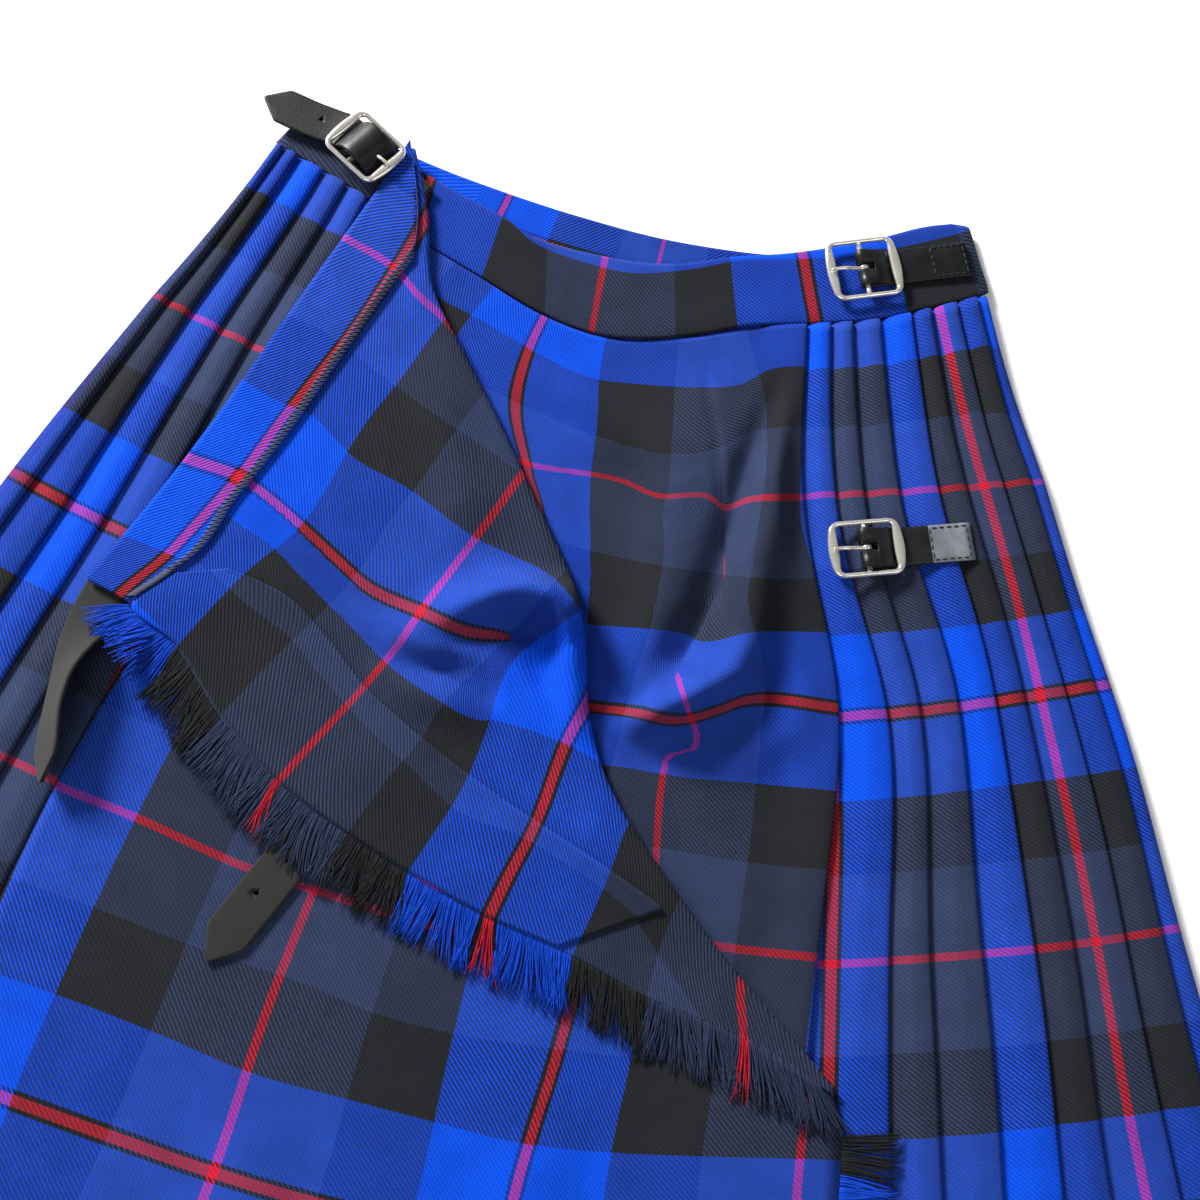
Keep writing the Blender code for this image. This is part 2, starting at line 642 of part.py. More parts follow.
def build_fringes():
    first, last = FRINGE_ROWS

    def flap_root(t):
        return flap_point(first + (last - first) * t, 1.0)

    def flap_away(t):
        along = flap_root(min(t + 0.02, 1.0)) - flap_root(max(t - 0.02, 0.0))
        return unit(along[1], -along[0])

    def flap_drop(point):
        if point[0] < CORNER_LOCKS_X - 6.0:
            return CORNER_LOCKS_LEVEL
        return FLAP_LEVEL - 0.2 if point[0] < -55 else max(lower_level(point[0], point[1]) + PLY + 0.2, 8.0)

    build_fringe("flap_fringe", flap_root, flap_away, flap_drop, *FLAP_LOCKS)

    def hem_root(t):
        down = APRON_EDGE.rows[0][0] + 3.0 + (SKIRT_LENGTH - APRON_EDGE.rows[0][0] - 4.0) * t
        x, y = APRON_EDGE.at("x", down), APRON_EDGE.at("y", down)
        return np.array((x, y, lower_level(x, y)))

    def hem_away(t):
        along = hem_root(min(t + 0.02, 1.0)) - hem_root(max(t - 0.02, 0.0))
        return unit(-along[1], along[0])

    build_fringe("hem_fringe", hem_root, hem_away, lambda point: FRONT_FACE + PLY + 0.2, *HEM_LOCKS)


def ribbon(name, spine, width, thickness, kind, point_length=0.0):
    """Leather strap along a spine of x, y, z and roll in degrees, with a pointed end if wanted."""
    spine = [np.array(p, dtype=float) for p in spine]
    rows = []
    for i, p in enumerate(spine):
        ahead = spine[min(i + 1, len(spine) - 1)][:3]
        behind = spine[max(i - 1, 0)][:3]
        along = (ahead - behind) / np.linalg.norm(ahead - behind)
        flat = np.array((-along[1], along[0], 0.0))
        flat /= np.linalg.norm(flat)
        up = np.cross(along, flat)
        roll = math.radians(p[3])
        rows.append((p[:3], flat * math.cos(roll) + up * math.sin(roll), width, along))
    if point_length:
        end, side, _, along = rows[-1]
        for share, narrow in ((0.45, 0.8), (0.8, 0.42), (1.0, 0.12)):
            rows.append((end + along * point_length * share, side, width * narrow, along))
    points = []
    for centre, side, wide, _ in rows:
        points += [centre + side * wide * k for k in (-0.5, 0.0, 0.5)]
    return cloth_wall(name, points, grid_cells(len(rows), 3), thickness, kind)


def buckle_matrix(spec):
    turn = Matrix.Rotation(math.radians(spec["turn"]), 4, "Z")
    return Matrix.Translation(place((spec["x"], spec["y"], spec["bed"]))) @ turn


def local_object(name, bm, kind, matrix):
    """Make an object of a mesh in millimetres about a buckle's bar, and set it in place."""
    bmesh.ops.scale(bm, vec=(MM, MM, MM), verts=bm.verts)
    obj = new_object(name, bm, kind)
    obj.matrix_world = matrix
    return obj


def box(name, size, kind, matrix, centre):
    bm = bmesh.new()
    bmesh.ops.create_cube(bm, size=1.0)
    bmesh.ops.scale(bm, vec=size, verts=bm.verts)
    bmesh.ops.translate(bm, vec=centre, verts=bm.verts)
    return local_object(name, bm, kind, matrix)


def tube(bm, path, radius, sides, closed=False):
    """Round tube along a path of local points; its ends are capped unless it is closed."""
    count = len(path)
    rings = []
    for i, p in enumerate(path):
        ahead = Vector(path[(i + 1) % count if closed else min(i + 1, count - 1)])
        behind = Vector(path[(i - 1) % count if closed else max(i - 1, 0)])
        along = (ahead - behind).normalized()
        side = along.cross(Vector((0, 0, 1)))
        side = side.normalized() if side.length > 1e-4 else Vector((0, 1, 0))
        up = side.cross(along).normalized()
        ring = []
        for k in range(sides):
            turn = 2 * math.pi * (k + 0.5) / sides
            ring.append(bm.verts.new(Vector(p) + side * radius * math.cos(turn)
                                     + up * radius * math.sin(turn)))
        rings.append(ring)
    pairs = list(zip(rings, rings[1:] + rings[:1])) if closed else list(zip(rings, rings[1:]))
    for a, b in pairs:
        for k in range(sides):
            bm.faces.new((a[k], a[(k + 1) % sides], b[(k + 1) % sides], b[k]))
    if not closed:
        bm.faces.new(rings[0])
        bm.faces.new(rings[-1])


def add_boolean(obj, other, operation):
    modifier = obj.modifiers.new(operation.lower(), "BOOLEAN")
    modifier.object = other
    modifier.operation = operation
    modifier.solver = "EXACT"
    other.hide_render = True
    other.display_type = "WIRE"


def rounded_loop(along, across, z, count):
    """Rounded oblong of the buckle's frame, from a superellipse."""
    path = []
    for k in range(count):
        turn = 2 * math.pi * (k + 0.5) / count
        c, s = math.cos(turn), math.sin(turn)
        path.append((0.5 * along * math.copysign(abs(c) ** 0.3, c),
                     0.5 * across * math.copysign(abs(s) ** 0.3, s), z))
    return path


def build_frame(name, spec):
    matrix = buckle_matrix(spec)
    bm = bmesh.new()
    level = spec["bar"] + 0.3
    tube(bm, rounded_loop(spec["along"] - 2 * WIRE, spec["across"] - 2 * WIRE, level, 24), WIRE, 8, closed=True)
    frame = local_object(name + "_frame", bm, "metal", matrix)
    bm = bmesh.new()
    half = 0.5 * spec["across"] - WIRE
    tube(bm, [(0, -half, spec["bar"]), (0, half, spec["bar"])], BAR_RADIUS, 10)
    bar = local_object(name + "_bar_tool", bm, "metal", matrix)
    add_boolean(frame, bar, "UNION")
    return frame


def build_tab(name, spec):
    """Leather tab: sewn down at its far end, it passes under the frame's rim and loops round the bar."""
    mid = 0.5 * TAB_LEATHER
    bar = spec["bar"]
    loop = BAR_RADIUS + SEAM_GAP + mid
    low_at_rim = mid + 0.1
    path = [(spec["tab"], mid), (0.5 * (spec["tab"] + 18.0), mid), (18.0, mid), (13.5, low_at_rim)]
    if name in FASTENED:
        path.append((9.6, low_at_rim + 0.2))
    path.append((5.0, bar - loop))
    for angle in (-90, -140, -180, -220, -270):
        turn = math.radians(angle)
        path.append((loop * math.cos(turn), bar + loop * math.sin(turn)))
    path.append((4.0, bar + 0.62 * loop))
    if name not in FASTENED:
        path += [(8.0, bar + 0.1), (11.0, low_at_rim + TAB_LEATHER + 0.9)]
    else:
        path.append((6.2, 6.0))
    points = []
    for x, z in path:
        points += [np.array((x, TAB_WIDTH * k, z)) for k in (-0.5, 0.0, 0.5)]
    matrix = buckle_matrix(spec)
    bm = wall_mesh(points, grid_cells(len(path), 3), TAB_LEATHER)
    obj = local_object(name + "_tab", bm, "leather", matrix)
    slot = box(name + "_slot_tool", (8.6, SLOT_WIDTH, 16.0), "leather", matrix, (0.3, 0.0, bar))
    add_boolean(obj, slot, "DIFFERENCE")
    return obj


def build_prong(name, spec):
    """Prong: an eye round the bar and a pin that lies on the far rim. Its origin is on the bar's axis."""
    bar = spec["bar"]
    rim_top = bar + 0.3 + WIRE
    matrix = buckle_matrix(spec) @ Matrix.Translation((0.0, 0.0, bar * MM))
    bm = bmesh.new()
    rings = []
    for radius in (BAR_RADIUS + SEAM_GAP, EYE_RADIUS):
        for side in (-0.5, 0.5):
            rings.append([bm.verts.new((radius * math.cos(2 * math.pi * k / 14), side * EYE_WIDTH,
                                        radius * math.sin(2 * math.pi * k / 14))) for k in range(14)])
    inner_a, inner_b, outer_a, outer_b = rings
    for a, b in ((inner_a, inner_b), (inner_b, outer_b), (outer_b, outer_a), (outer_a, inner_a)):
        for k in range(14):
            bm.faces.new((a[k], a[(k + 1) % 14], b[(k + 1) % 14], b[k]))
    eye = local_object(name + "_prong", bm, "metal", matrix)
    seat = rim_top + SEAM_GAP + PRONG_RADIUS - bar
    reach = -(0.5 * spec["along"] - WIRE)
    if name in FASTENED:
        path = [(-1.95, 0, 0.4), (-6.0, 0, 0.7), (-9.0, 0, 2.2), (reach + 1.5, 0, seat + 0.1),
                (reach - 2.0, 0, seat + 0.1)]
    else:
        path = [(-1.95, 0, 0.7), (-6.0, 0, 0.62 * seat), (-10.0, 0, seat), (reach, 0, seat),
                (reach - 1.8, 0, seat - 0.2)]
    bm = bmesh.new()
    tube(bm, path, PRONG_RADIUS, 8)
    add_boolean(eye, local_object(name + "_pin_tool", bm, "metal", matrix), "UNION")
    return eye


def build_straps():
    """Loose over-apron straps, and the under-apron's strap through the left waist buckle."""
    ground = FRONT_FACE + 0.5 * CLOTH + SEAM_GAP
    spine = []
    for x, y, roll in ((-174.5, -12, 0), (-182.5, -38, 3), (-185.0, -50, 5), (-186.4, -62, 9),
                       (-188.6, -77, 40), (-189.0, -87, 50), (-187.6, -103, 46)):
        turn = math.radians(roll)
        rise = 0.5 * STRAP_WIDTH * math.sin(turn) + 0.5 * LEATHER * math.cos(turn)
        spine.append((x, y, ground + rise, roll))
    ribbon("apron_waist_strap", spine, STRAP_WIDTH, LEATHER, "leather", point_length=17.0)
    hip_bed = STRAP_BED + 0.5 * LEATHER
    ribbon("apron_hip_strap", [
        (-70, -104, hip_bed, 0), (-81, -126, hip_bed, 0), (-88, -140, hip_bed, 0), (-98, -160, hip_bed, 0),
    ], STRAP_WIDTH, LEATHER, "leather", point_length=17.0)
    spec = BUCKLES["left_waist"]
    turn = math.radians(spec["turn"])
    spine = []
    flat = SLIT_LEVEL - spec["bed"]
    for x, y, z in ((-35.0, -0.5, flat), (-27.0, -0.4, flat), (-19.0, -0.2, flat), (-12.1, 0.0, flat + 0.1),
                    (-10.3, 0.0, 3.5), (-8.2, 0.0, 7.5), (-5.4, 0.0, 10.2), (-1.6, 0.0, 11.3),
                    (2.4, 0.0, 11.2), (6.2, 0.0, 9.5), (9.0, 0.0, 6.6), (11.4, 0.0, 4.2),
                    (14.2, 0.2, 3.6), (20.0, 2.2, 3.1), (29.5, 6.3, 3.1), (40.1, 10.2, 3.4)):
        spine.append((spec["x"] + x * math.cos(turn) - y * math.sin(turn),
                      spec["y"] + x * math.sin(turn) + y * math.cos(turn), spec["bed"] + z, 0.0))
    strap = ribbon("waist_strap_fastened", spine, 18.5, LEATHER, "leather", point_length=14.0)
    hole = box("strap_hole_tool", (5.6, 2.6, 9.0), "leather", buckle_matrix(spec), (-8.0, 0, spec["bar"] + 2))
    add_boolean(strap, hole, "DIFFERENCE")


def build_buckles():
    for name, spec in BUCKLES.items():
        build_frame(name, spec)
        build_tab(name, spec)
        build_prong(name, spec)


def main():
    clear_scene()
    build_pleated_panel()
    build_under_apron()
    build_over_apron()
    build_waistband()
    build_facings()
    build_fringes()
    build_straps()
    build_buckles()


main()
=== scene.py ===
"""Looks of the plaid wrap skirt: woven cloth, fringe, leather, buckles, light and camera.

Tables and sizes are in millimetres on the lay plan that the solids use: +X to the right along the waist,
+Y towards the waist, Z up from the surface. place() turns them into metres in the part's frame.
"""
import math
import random

import bmesh
import bpy
import numpy as np
from mathutils import Matrix, Vector


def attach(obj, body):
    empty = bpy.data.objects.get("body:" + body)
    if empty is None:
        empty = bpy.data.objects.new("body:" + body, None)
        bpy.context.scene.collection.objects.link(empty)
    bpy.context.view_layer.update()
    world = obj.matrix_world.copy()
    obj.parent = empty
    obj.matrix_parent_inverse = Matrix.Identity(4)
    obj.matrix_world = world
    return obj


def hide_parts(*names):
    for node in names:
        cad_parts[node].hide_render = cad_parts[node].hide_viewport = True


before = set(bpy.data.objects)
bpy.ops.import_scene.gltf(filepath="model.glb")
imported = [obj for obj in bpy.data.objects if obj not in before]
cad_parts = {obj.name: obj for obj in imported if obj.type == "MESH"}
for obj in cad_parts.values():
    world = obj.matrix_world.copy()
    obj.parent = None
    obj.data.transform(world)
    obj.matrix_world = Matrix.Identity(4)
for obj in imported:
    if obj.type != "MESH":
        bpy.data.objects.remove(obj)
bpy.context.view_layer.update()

MM = 0.001
PLAN_CENTRE = np.array((2.5, -125.1, 0.0))
BODY = "skirt"

# Plies of the laid skirt, as in the solids: wall, step from ply to ply and mid heights. The pieces here are
# SHELL thick, SEAM_GAP apart where sewn, and tucked PANEL_TUCK under a neighbour
CLOTH = 1.0
SHELL = 0.8
PLY = 1.35
BACK_FACE = 0.5
BACK_MID = BACK_FACE + PLY
BACK_INNER = BACK_MID + PLY
FRONT_INNER = BACK_INNER + PLY
FRONT_MID = FRONT_INNER + PLY
FRONT_FACE = FRONT_MID + PLY
FLAP_LEVEL = 9.4
WAIST_RISE = 0.5
SKIRT_LENGTH = 620.0
FRONT_SEAM_BLEND = 92.0
BACK_PLEATS = 20
PLEAT_DEPTH = 0.45
FOLD_LENGTH = 0.8
MID_X = 20.0
PANEL_TUCK = 8.0
UNDER_START = 9.0
LOCK_LENGTH = 23.0
SEAM_GAP = 0.3

# Lowest height of the under-apron's troughs, and of the folded corner's over the cloth beneath,
# less half a ply
UNDER_LOWEST = 4.3
FLAP_LOWEST = 1.2

# Camera of the photograph in the part's frame: where it stands, its right, up and forward directions, its
# lens on a 36 mm sensor, and the height of the plane on which it reads the threads
CAMERA_AT = (13.9, -21.5, 548.5)
CAMERA_AXES = ((0.98225504, 0.17873799, 0.05681344), (-0.18737064, 0.94845602, 0.25558448),
               (0.00820239, 0.26169432, -0.96511595))
LENS = 39.0
READ_LEVEL = 8.0

# Half repeat of the check in thread numbers, from the red line in blue to the red line in navy: half the red
# line, the dark guard beside it, and where blue and black end
HALF_SETT = 110.0
RED_HALF = 2.1
GUARD = 1.6
BLUE_END = 39.0
BLACK_END = 72.0
# Distance down the skirt of the first red line in navy, and of a half repeat
FIRST_RED_DOWN = 92.0
HALF_SETT_DOWN = 105.0
# Width of a twill rib, its shading, and how much of the other thread shows between ribs
TWILL = 2.1
RIB_LIGHT = 0.4
BLEND = 0.2


class Table:
    """Rows of numbers with named columns, read by a smooth curve through the first column."""

    def __init__(self, names, rows):
        self.names = names.split()
        self.rows = np.array(rows, dtype=float)
        self.found = {}

    def column(self, name):
        return self.rows[:, self.names.index(name)]

    def at(self, name, key):
        if (name, key) not in self.found:
            self.found[name, key] = smooth(self.rows[:, 0], self.column(name), key)
        return self.found[name, key]


def smooth(keys, values, key):
    """Value of a smooth curve through points, which ends at the first and last of them."""
    keys = np.asarray(keys, dtype=float)
    values = np.asarray(values, dtype=float)
    slopes = np.gradient(values, keys)
    key = min(max(key, keys[0]), keys[-1])
    i = min(max(int(np.searchsorted(keys, key)) - 1, 0), len(keys) - 2)
    span = keys[i + 1] - keys[i]
    t = (key - keys[i]) / span
    return float((2 * t ** 3 - 3 * t ** 2 + 1) * values[i] + (t ** 3 - 2 * t ** 2 + t) * span * slopes[i]
                 + (3 * t ** 2 - 2 * t ** 3) * values[i + 1] + (t ** 3 - t ** 2) * span * slopes[i + 1])


# The skirt's outline and panel edges at distances down from the waist seam
ROWS = Table("down mid_y rise_l rise_r side_l apron_l apron_r pleat_r side_r", [
    (-38, 187, 42, 34, -156, -113, 86, 97, 161),
    (0, 147, 43, 35, -168.5, -120, 91, 102, 174),
    (92, 55, 47, 40, -204, -140, 101, 115, 209),
    (197, -48, 56, 55, -241, -160, 130, 150, 247),
    (302, -148, 55, 57, -275, -184, 134.5, 164, 285),
    (407, -254, 62, 64, -310, -203, 139, 177, 320),
    (620, -467, 84, 84, -380, -238, 152, 205, 385),
])
# Waist seam of the front panels, which runs on to the sides
SEAM = Table("x y", [
    (-170, 190), (-145, 180), (-120, 169.5), (-104, 160), (-87, 152), (-60, 141), (-32, 129.5), (0, 123.5),
    (40, 132), (65, 142), (91, 148.5), (125, 158.5), (151, 170.5), (176, 183),
])
# Pleat edges as shares of the way from a panel's edge to the side, at the waist and at the hip
LEFT_EDGES_WAIST = (0.91, 0.75, 0.49, 0.24, 0.0)
LEFT_EDGES_HIP = (0.86, 0.64, 0.43, 0.23, 0.0)
RIGHT_EDGES_WAIST = (0.0, 0.14, 0.31, 0.505, 0.63, 0.79, 0.92)
RIGHT_EDGES_HIP = (0.0, 0.14, 0.31, 0.48, 0.61, 0.79, 0.92)
HIP_DOWN = 200.0

BAND_FRONT = Table("seam_x top_x top_y z", [
    (-106, -101, 191, 4.85), (-87, -87, 185, 4.9), (-60, -57, 174, 5.0), (-32, -38, 166, 5.2),
    (0, 0, 163.5, 5.4), (34, 27, 167, 5.5), (62, 53, 176, 5.7), (91, 80, 184, 5.9), (125, 113, 197, 6.0),
    (152, 138, 210, 6.0), (168, 152, 215.3, 5.5),
])
BAND_BACK = Table("seam_x top_x top_y z", [
    (167, 152.5, 215.6, 0.8), (140, 128, 205.5, 0.8), (105, 100, 193, 0.8), (65, 70, 183.5, 0.8),
    (20, 22, 181, 0.8), (-25, -20, 184, 0.8), (-70, -63, 190, 0.8), (-108, -102, 198, 0.8),
    (-145, -137, 209, 0.8), (-161, -150, 212, 0.8),
])
BAND_LEFT = Table("seam_x top_x top_y z", [
    (-161, -150, 211.5, 4.8), (-148, -139, 210, 5.1), (-134, -126, 206.5, 5.1), (-118.3, -111.4, 202, 5.1),
])
BAND_WALL = 1.3
BAND_GAP = 0.8

FLAP = Table("row fold_x fold_y edge_x edge_y down roll lift", [
    (0, -103.5, 198, -106.5, 202, -37, 1.6, 0.0),
    (1, -90.5, 166, -117, 169, -4, 2.0, 0.0),
    (2, -81, 131, -133, 125, 32, 2.6, 0.0),
    (3, -60, 101, -147, 84, 68, 3.4, 0.0),
    (4, -41, 76, -161, 44, 103, 4.2, 0.0),
    (5, -24, 52, -177, 3, 138, 5.0, 0.6),
    (6, -6, 26, -193, -34, 170, 5.6, 2.4),
    (7, 6, 8, -172, -41, 192, 6.2, 2.6),
    (8, 14, -10, -149, -55, 212, 6.6, 0.8),
    (9, 20, -30, -125, -79, 232, 6.6, 0.0),
    (10, 25, -50, -96, -101, 251, 6.2, 0.0),
    (11, 34, -70, -65, -116, 269, 5.6, 0.0),
    (12, 46, -87, -34, -128, 284, 5.0, 0.0),
    (13, 61, -103, -2, -138.5, 298, 4.4, 0.0),
    (14, 80, -122, 37, -147.5, 312, 3.8, 0.0),
    (15, 103, -143, 70, -158, 324, 3.2, 0.0),
    (16, 127, -162, 104, -165, 334, 2.6, 0.0),
    (17, 150, -181, 141, -178, 343, 1.8, 0.0),
])
APRON_EDGE = Table("down x y", [
    (352, 153, -192), (440, 158, -280), (530, 163, -365), (620, 166, -446),
])
EDGE_FACING = Table("row inset reach", [
    (6.1, 36, 57), (6.5, 20, 61), (7, 1.2, 64), (8, 1.2, 62), (9, 1.2, 63), (10, 1.2, 65), (11, 1.2, 63.5),
    (12, 1.2, 60.5), (13, 1.2, 55), (13.8, 1.2, 46),
])
WAIST_FACING = Table("row reach", [
    (0, 37), (3, 37), (5, 39), (6, 37), (6.25, 28), (6.5, 18.5), (6.75, 9), (7, 1.5),
])

# Soft folds: x, y, height and half width along each ridge (positive) or trough (negative)
UNDER_FOLDS = [
    [(66, 124, 0, 34), (66, 80, 6, 34), (66, 20, 7, 32), (62, -30, 5, 28), (50, -66, 0, 22)],
    [(94, 130, 0, 8), (92, 104, 4, 9), (88, 70, 6, 9), (86, 30, 8, 10), (87, -4, 9, 10), (82, -22, 12, 9),
     (66, -36, 15, 7.5), (50, -47, 15, 7), (36, -54, 9, 7), (26, -60, 2, 7)],
    [(84, 128, 0, 6), (82, 108, -3.5, 7), (74, 72, -5, 7), (70, 36, -6, 7), (66, 8, -6, 7), (58, -16, -5, 7),
     (50, -30, 0, 7)],
    [(34, 112, 0, 12), (44, 60, 3, 12), (46, 5, 4, 12), (38, -32, 4, 10)],
    [(104, -60, 0, 9), (84, -68, -2, 9), (60, -72, -3, 9), (40, -72, -2, 8)],
    [(100, -80, 0, 14), (96, -150, 3, 16), (92, -300, 5, 20), (95, -440, 6, 22)],
    [(118, -12, 0, 9), (112, -38, 2.6, 9), (92, -58, 2.2, 8), (78, -66, 0, 8)],
    [(-36, 108, 0, 9), (-10, 92, 2.4, 9), (16, 78, 2.6, 9), (42, 66, 0, 9)],
    [(-22, 82, 0, 7), (0, 70, 1.6, 7), (22, 60, 0, 7)],
    [(52, 136, 0, 5), (58, 124, 1.8, 5), (64, 108, 0, 5)],
]
FLAP_FOLDS = [
    [(-66, -36, 0, 9), (-48, -25, 4, 10), (-35, -17, 10, 10), (-22, -9.5, 16, 10), (-10, -6, 20, 9),
     (1, -7, 21, 8.5), (9, -12, 19, 8), (15, -21, 14, 8), (19, -36, 8, 8), (22, -54, 2, 8)],
    [(-42, -36, 0, 6), (-27, -23, -5, 6), (-14, -17, -8, 6), (-3, -18, -8, 5.5), (3, -24, -6, 5),
     (2, -40, -1, 5)],
    [(-14, -25, 0, 3.5), (-4, -33, -2, 3.5), (6, -43, -2.5, 3.5), (16, -52, 0, 3)],
    [(-84, -22, 0, 8), (-64, -32, 2, 7), (-46, -36, 3, 5), (-32, -34, 2, 5), (-26, -28, 0, 5)],
    [(-62, -40, 0, 5), (-46, -43, -3, 5), (-34, -42, -5, 5), (-22, -47, -5, 5.5), (-12, -56, 0, 5)],
    [(-70, -46, 0, 6), (-48, -53, 3, 6), (-30, -57, 3.5, 6), (-12, -64, 0, 6)],
    [(-78, 96, 0, 10), (-60, 62, 2.5, 12), (-44, 30, 3.5, 13), (-34, 12, 0, 12)],
    [(4, -88, 0, 10), (34, -100, 3, 10), (66, -122, 3, 9), (96, -143, 0.5, 8)],
    [(-74, -48, 0, 6), (-44, -60, 1.8, 6), (-18, -66, 0, 6)],
    [(-96, 138, 0, 6), (-84, 120, 2.2, 6), (-64, 96, 1.5, 6), (-48, 74, 0, 6)],
    [(-120, -44, 0, 9), (-98, -70, 1.4, 9), (-60, -92, 1.2, 9), (-20, -104, 0, 9)],
]
LOWER_FOLDS = [
    [(-66, -160, 0, 16), (-70, -240, 3, 18), (-80, -350, 5, 22), (-88, -460, 6, 24)],
    [(40, -175, 0, 14), (36, -240, 4, 16), (30, -350, 5, 20), (28, -460, 6, 22)],
    [(56, -178, 0, 9), (52, -215, -1.5, 11), (50, -280, -1.5, 12), (48, -360, 0, 12)],
    [(-20, -160, 0, 12), (-28, -230, 1.5, 14), (-34, -320, 2, 16), (-40, -420, 3, 18)],
]


def place(points):
    """Plan points in millimetres as metres in the part's frame."""
    return (np.asarray(points, dtype=float) - PLAN_CENTRE) * MM


def step_up(x, start, end):
    """0 before start, 1 past end, and a smooth step between them."""
    t = min(max((x - start) / (end - start), 0.0), 1.0)
    return t * t * (3.0 - 2.0 * t)


def plan_y(x, down):
    """Plan y of the back at a distance down from the waist seam."""
    side = "l" if x < MID_X else "r"
    reach = abs(x - MID_X) / abs(ROWS.at("side_" + side, down) - MID_X)
    power = 2.0 - 0.4 * min(max(down, 0.0) / FRONT_SEAM_BLEND, 1.0)
    return ROWS.at("mid_y", down) + ROWS.at("rise_" + side, down) * reach ** power


def front_y(x, down):
    """Plan y of the front panels, whose waist seam dips in the middle."""
    drop = SEAM.at("y", x) - plan_y(x, 0.0)
    return plan_y(x, down) + drop * max(0.0, 1.0 - max(down, 0.0) / FRONT_SEAM_BLEND)


def soft_folds(folds, x, y):
    """Height of the soft folds at a plan point."""
    height = 0.0
    for ridge in folds:
        best = None
        for (ax, ay, ah, aw), (bx, by, bh, bw) in zip(ridge, ridge[1:]):
            dx, dy = bx - ax, by - ay
            t = min(max(((x - ax) * dx + (y - ay) * dy) / (dx * dx + dy * dy), 0.0), 1.0)
            away = math.hypot(x - ax - t * dx, y - ay - t * dy)
            if best is None or away < best[0]:
                best = (away, ah + t * (bh - ah), aw + t * (bw - aw))
        height += best[1] * math.exp(-(best[0] / best[2]) ** 2)
    return height


# Threads of the check

class Weave:
    """Thread numbers on a sheet as seen in the photograph.

    warp and weft map a thread number to a few plan points on that thread: warp threads run down
    the sheet, weft threads across it.
    """

    def __init__(self, warp, weft):
        self.warp = [(value, np.array(points, dtype=float)) for value, points in sorted(warp.items())]
        self.weft = [(value, np.array(points, dtype=float)) for value, points in sorted(weft.items())]

    def at(self, points):
        seen = seen_points(points)
        across = [(value, line_at(-line[:, 1], line[:, 0], -seen[:, 1])) for value, line in self.warp]
        down = [(value, line_at(line[:, 0], line[:, 1], seen[:, 0])) for value, line in self.weft]
        return np.stack((between(across, seen[:, 0], 1.0), between(down, seen[:, 1], -1.0)), axis=1)


def seen_points(points):
    """Where the photograph's camera sees plan points on the plane at reading level."""
    points = np.asarray(points, dtype=float).reshape(-1, 3)
    under = np.array((CAMERA_AT[0] + PLAN_CENTRE[0], CAMERA_AT[1] + PLAN_CENTRE[1]))
    scale = 1.0 - (points[:, 2] - READ_LEVEL) / CAMERA_AT[2]
    return under + (points[:, :2] - under) / scale[:, None]


def line_at(keys, values, at):
    """Smooth curve through points, carried on straight past their ends."""
    order = np.argsort(keys)
    keys, values = keys[order], values[order]
    steps = np.diff(values) / np.diff(keys)
    slopes = np.concatenate(([steps[0]], 0.5 * (steps[:-1] + steps[1:]), [steps[-1]]))
    i = np.clip(np.searchsorted(keys, at) - 1, 0, len(keys) - 2)
    span = keys[i + 1] - keys[i]
    t = (at - keys[i]) / span
    inside = np.clip(t, 0.0, 1.0)
    curve = ((2 * inside ** 3 - 3 * inside ** 2 + 1) * values[i]
             + (3 * inside ** 2 - 2 * inside ** 3) * values[i + 1]
             + (inside ** 3 - 2 * inside ** 2 + inside) * span * slopes[i]
             + (inside ** 3 - inside ** 2) * span * slopes[i + 1])
    beyond = (t - inside) * span * np.where(t < 0.0, slopes[i], slopes[i + 1])
    return curve + beyond


def between(lines, at, way):
    """Thread number at a place, from the places of the numbered threads on either side of it."""
    numbers = np.array([value for value, _ in lines])
    places = np.stack([way * where for _, where in lines])
    at = way * at
    result = np.empty_like(at)
    low = np.zeros(len(at), dtype=int)
    for k in range(1, len(lines) - 1):
        low[at > places[k]] = k
    for k in range(len(lines) - 1):
        pick = low == k
        span = places[k + 1][pick] - places[k][pick]
        span[np.abs(span) < 0.5] = 0.5
        result[pick] = numbers[k] + (numbers[k + 1] - numbers[k]) * (at[pick] - places[k][pick]) / span
    return result


def down_thread(down):
    """Thread number across the skirt at a distance down from the waist seam."""
    return HALF_SETT + (down - FIRST_RED_DOWN) * HALF_SETT / HALF_SETT_DOWN


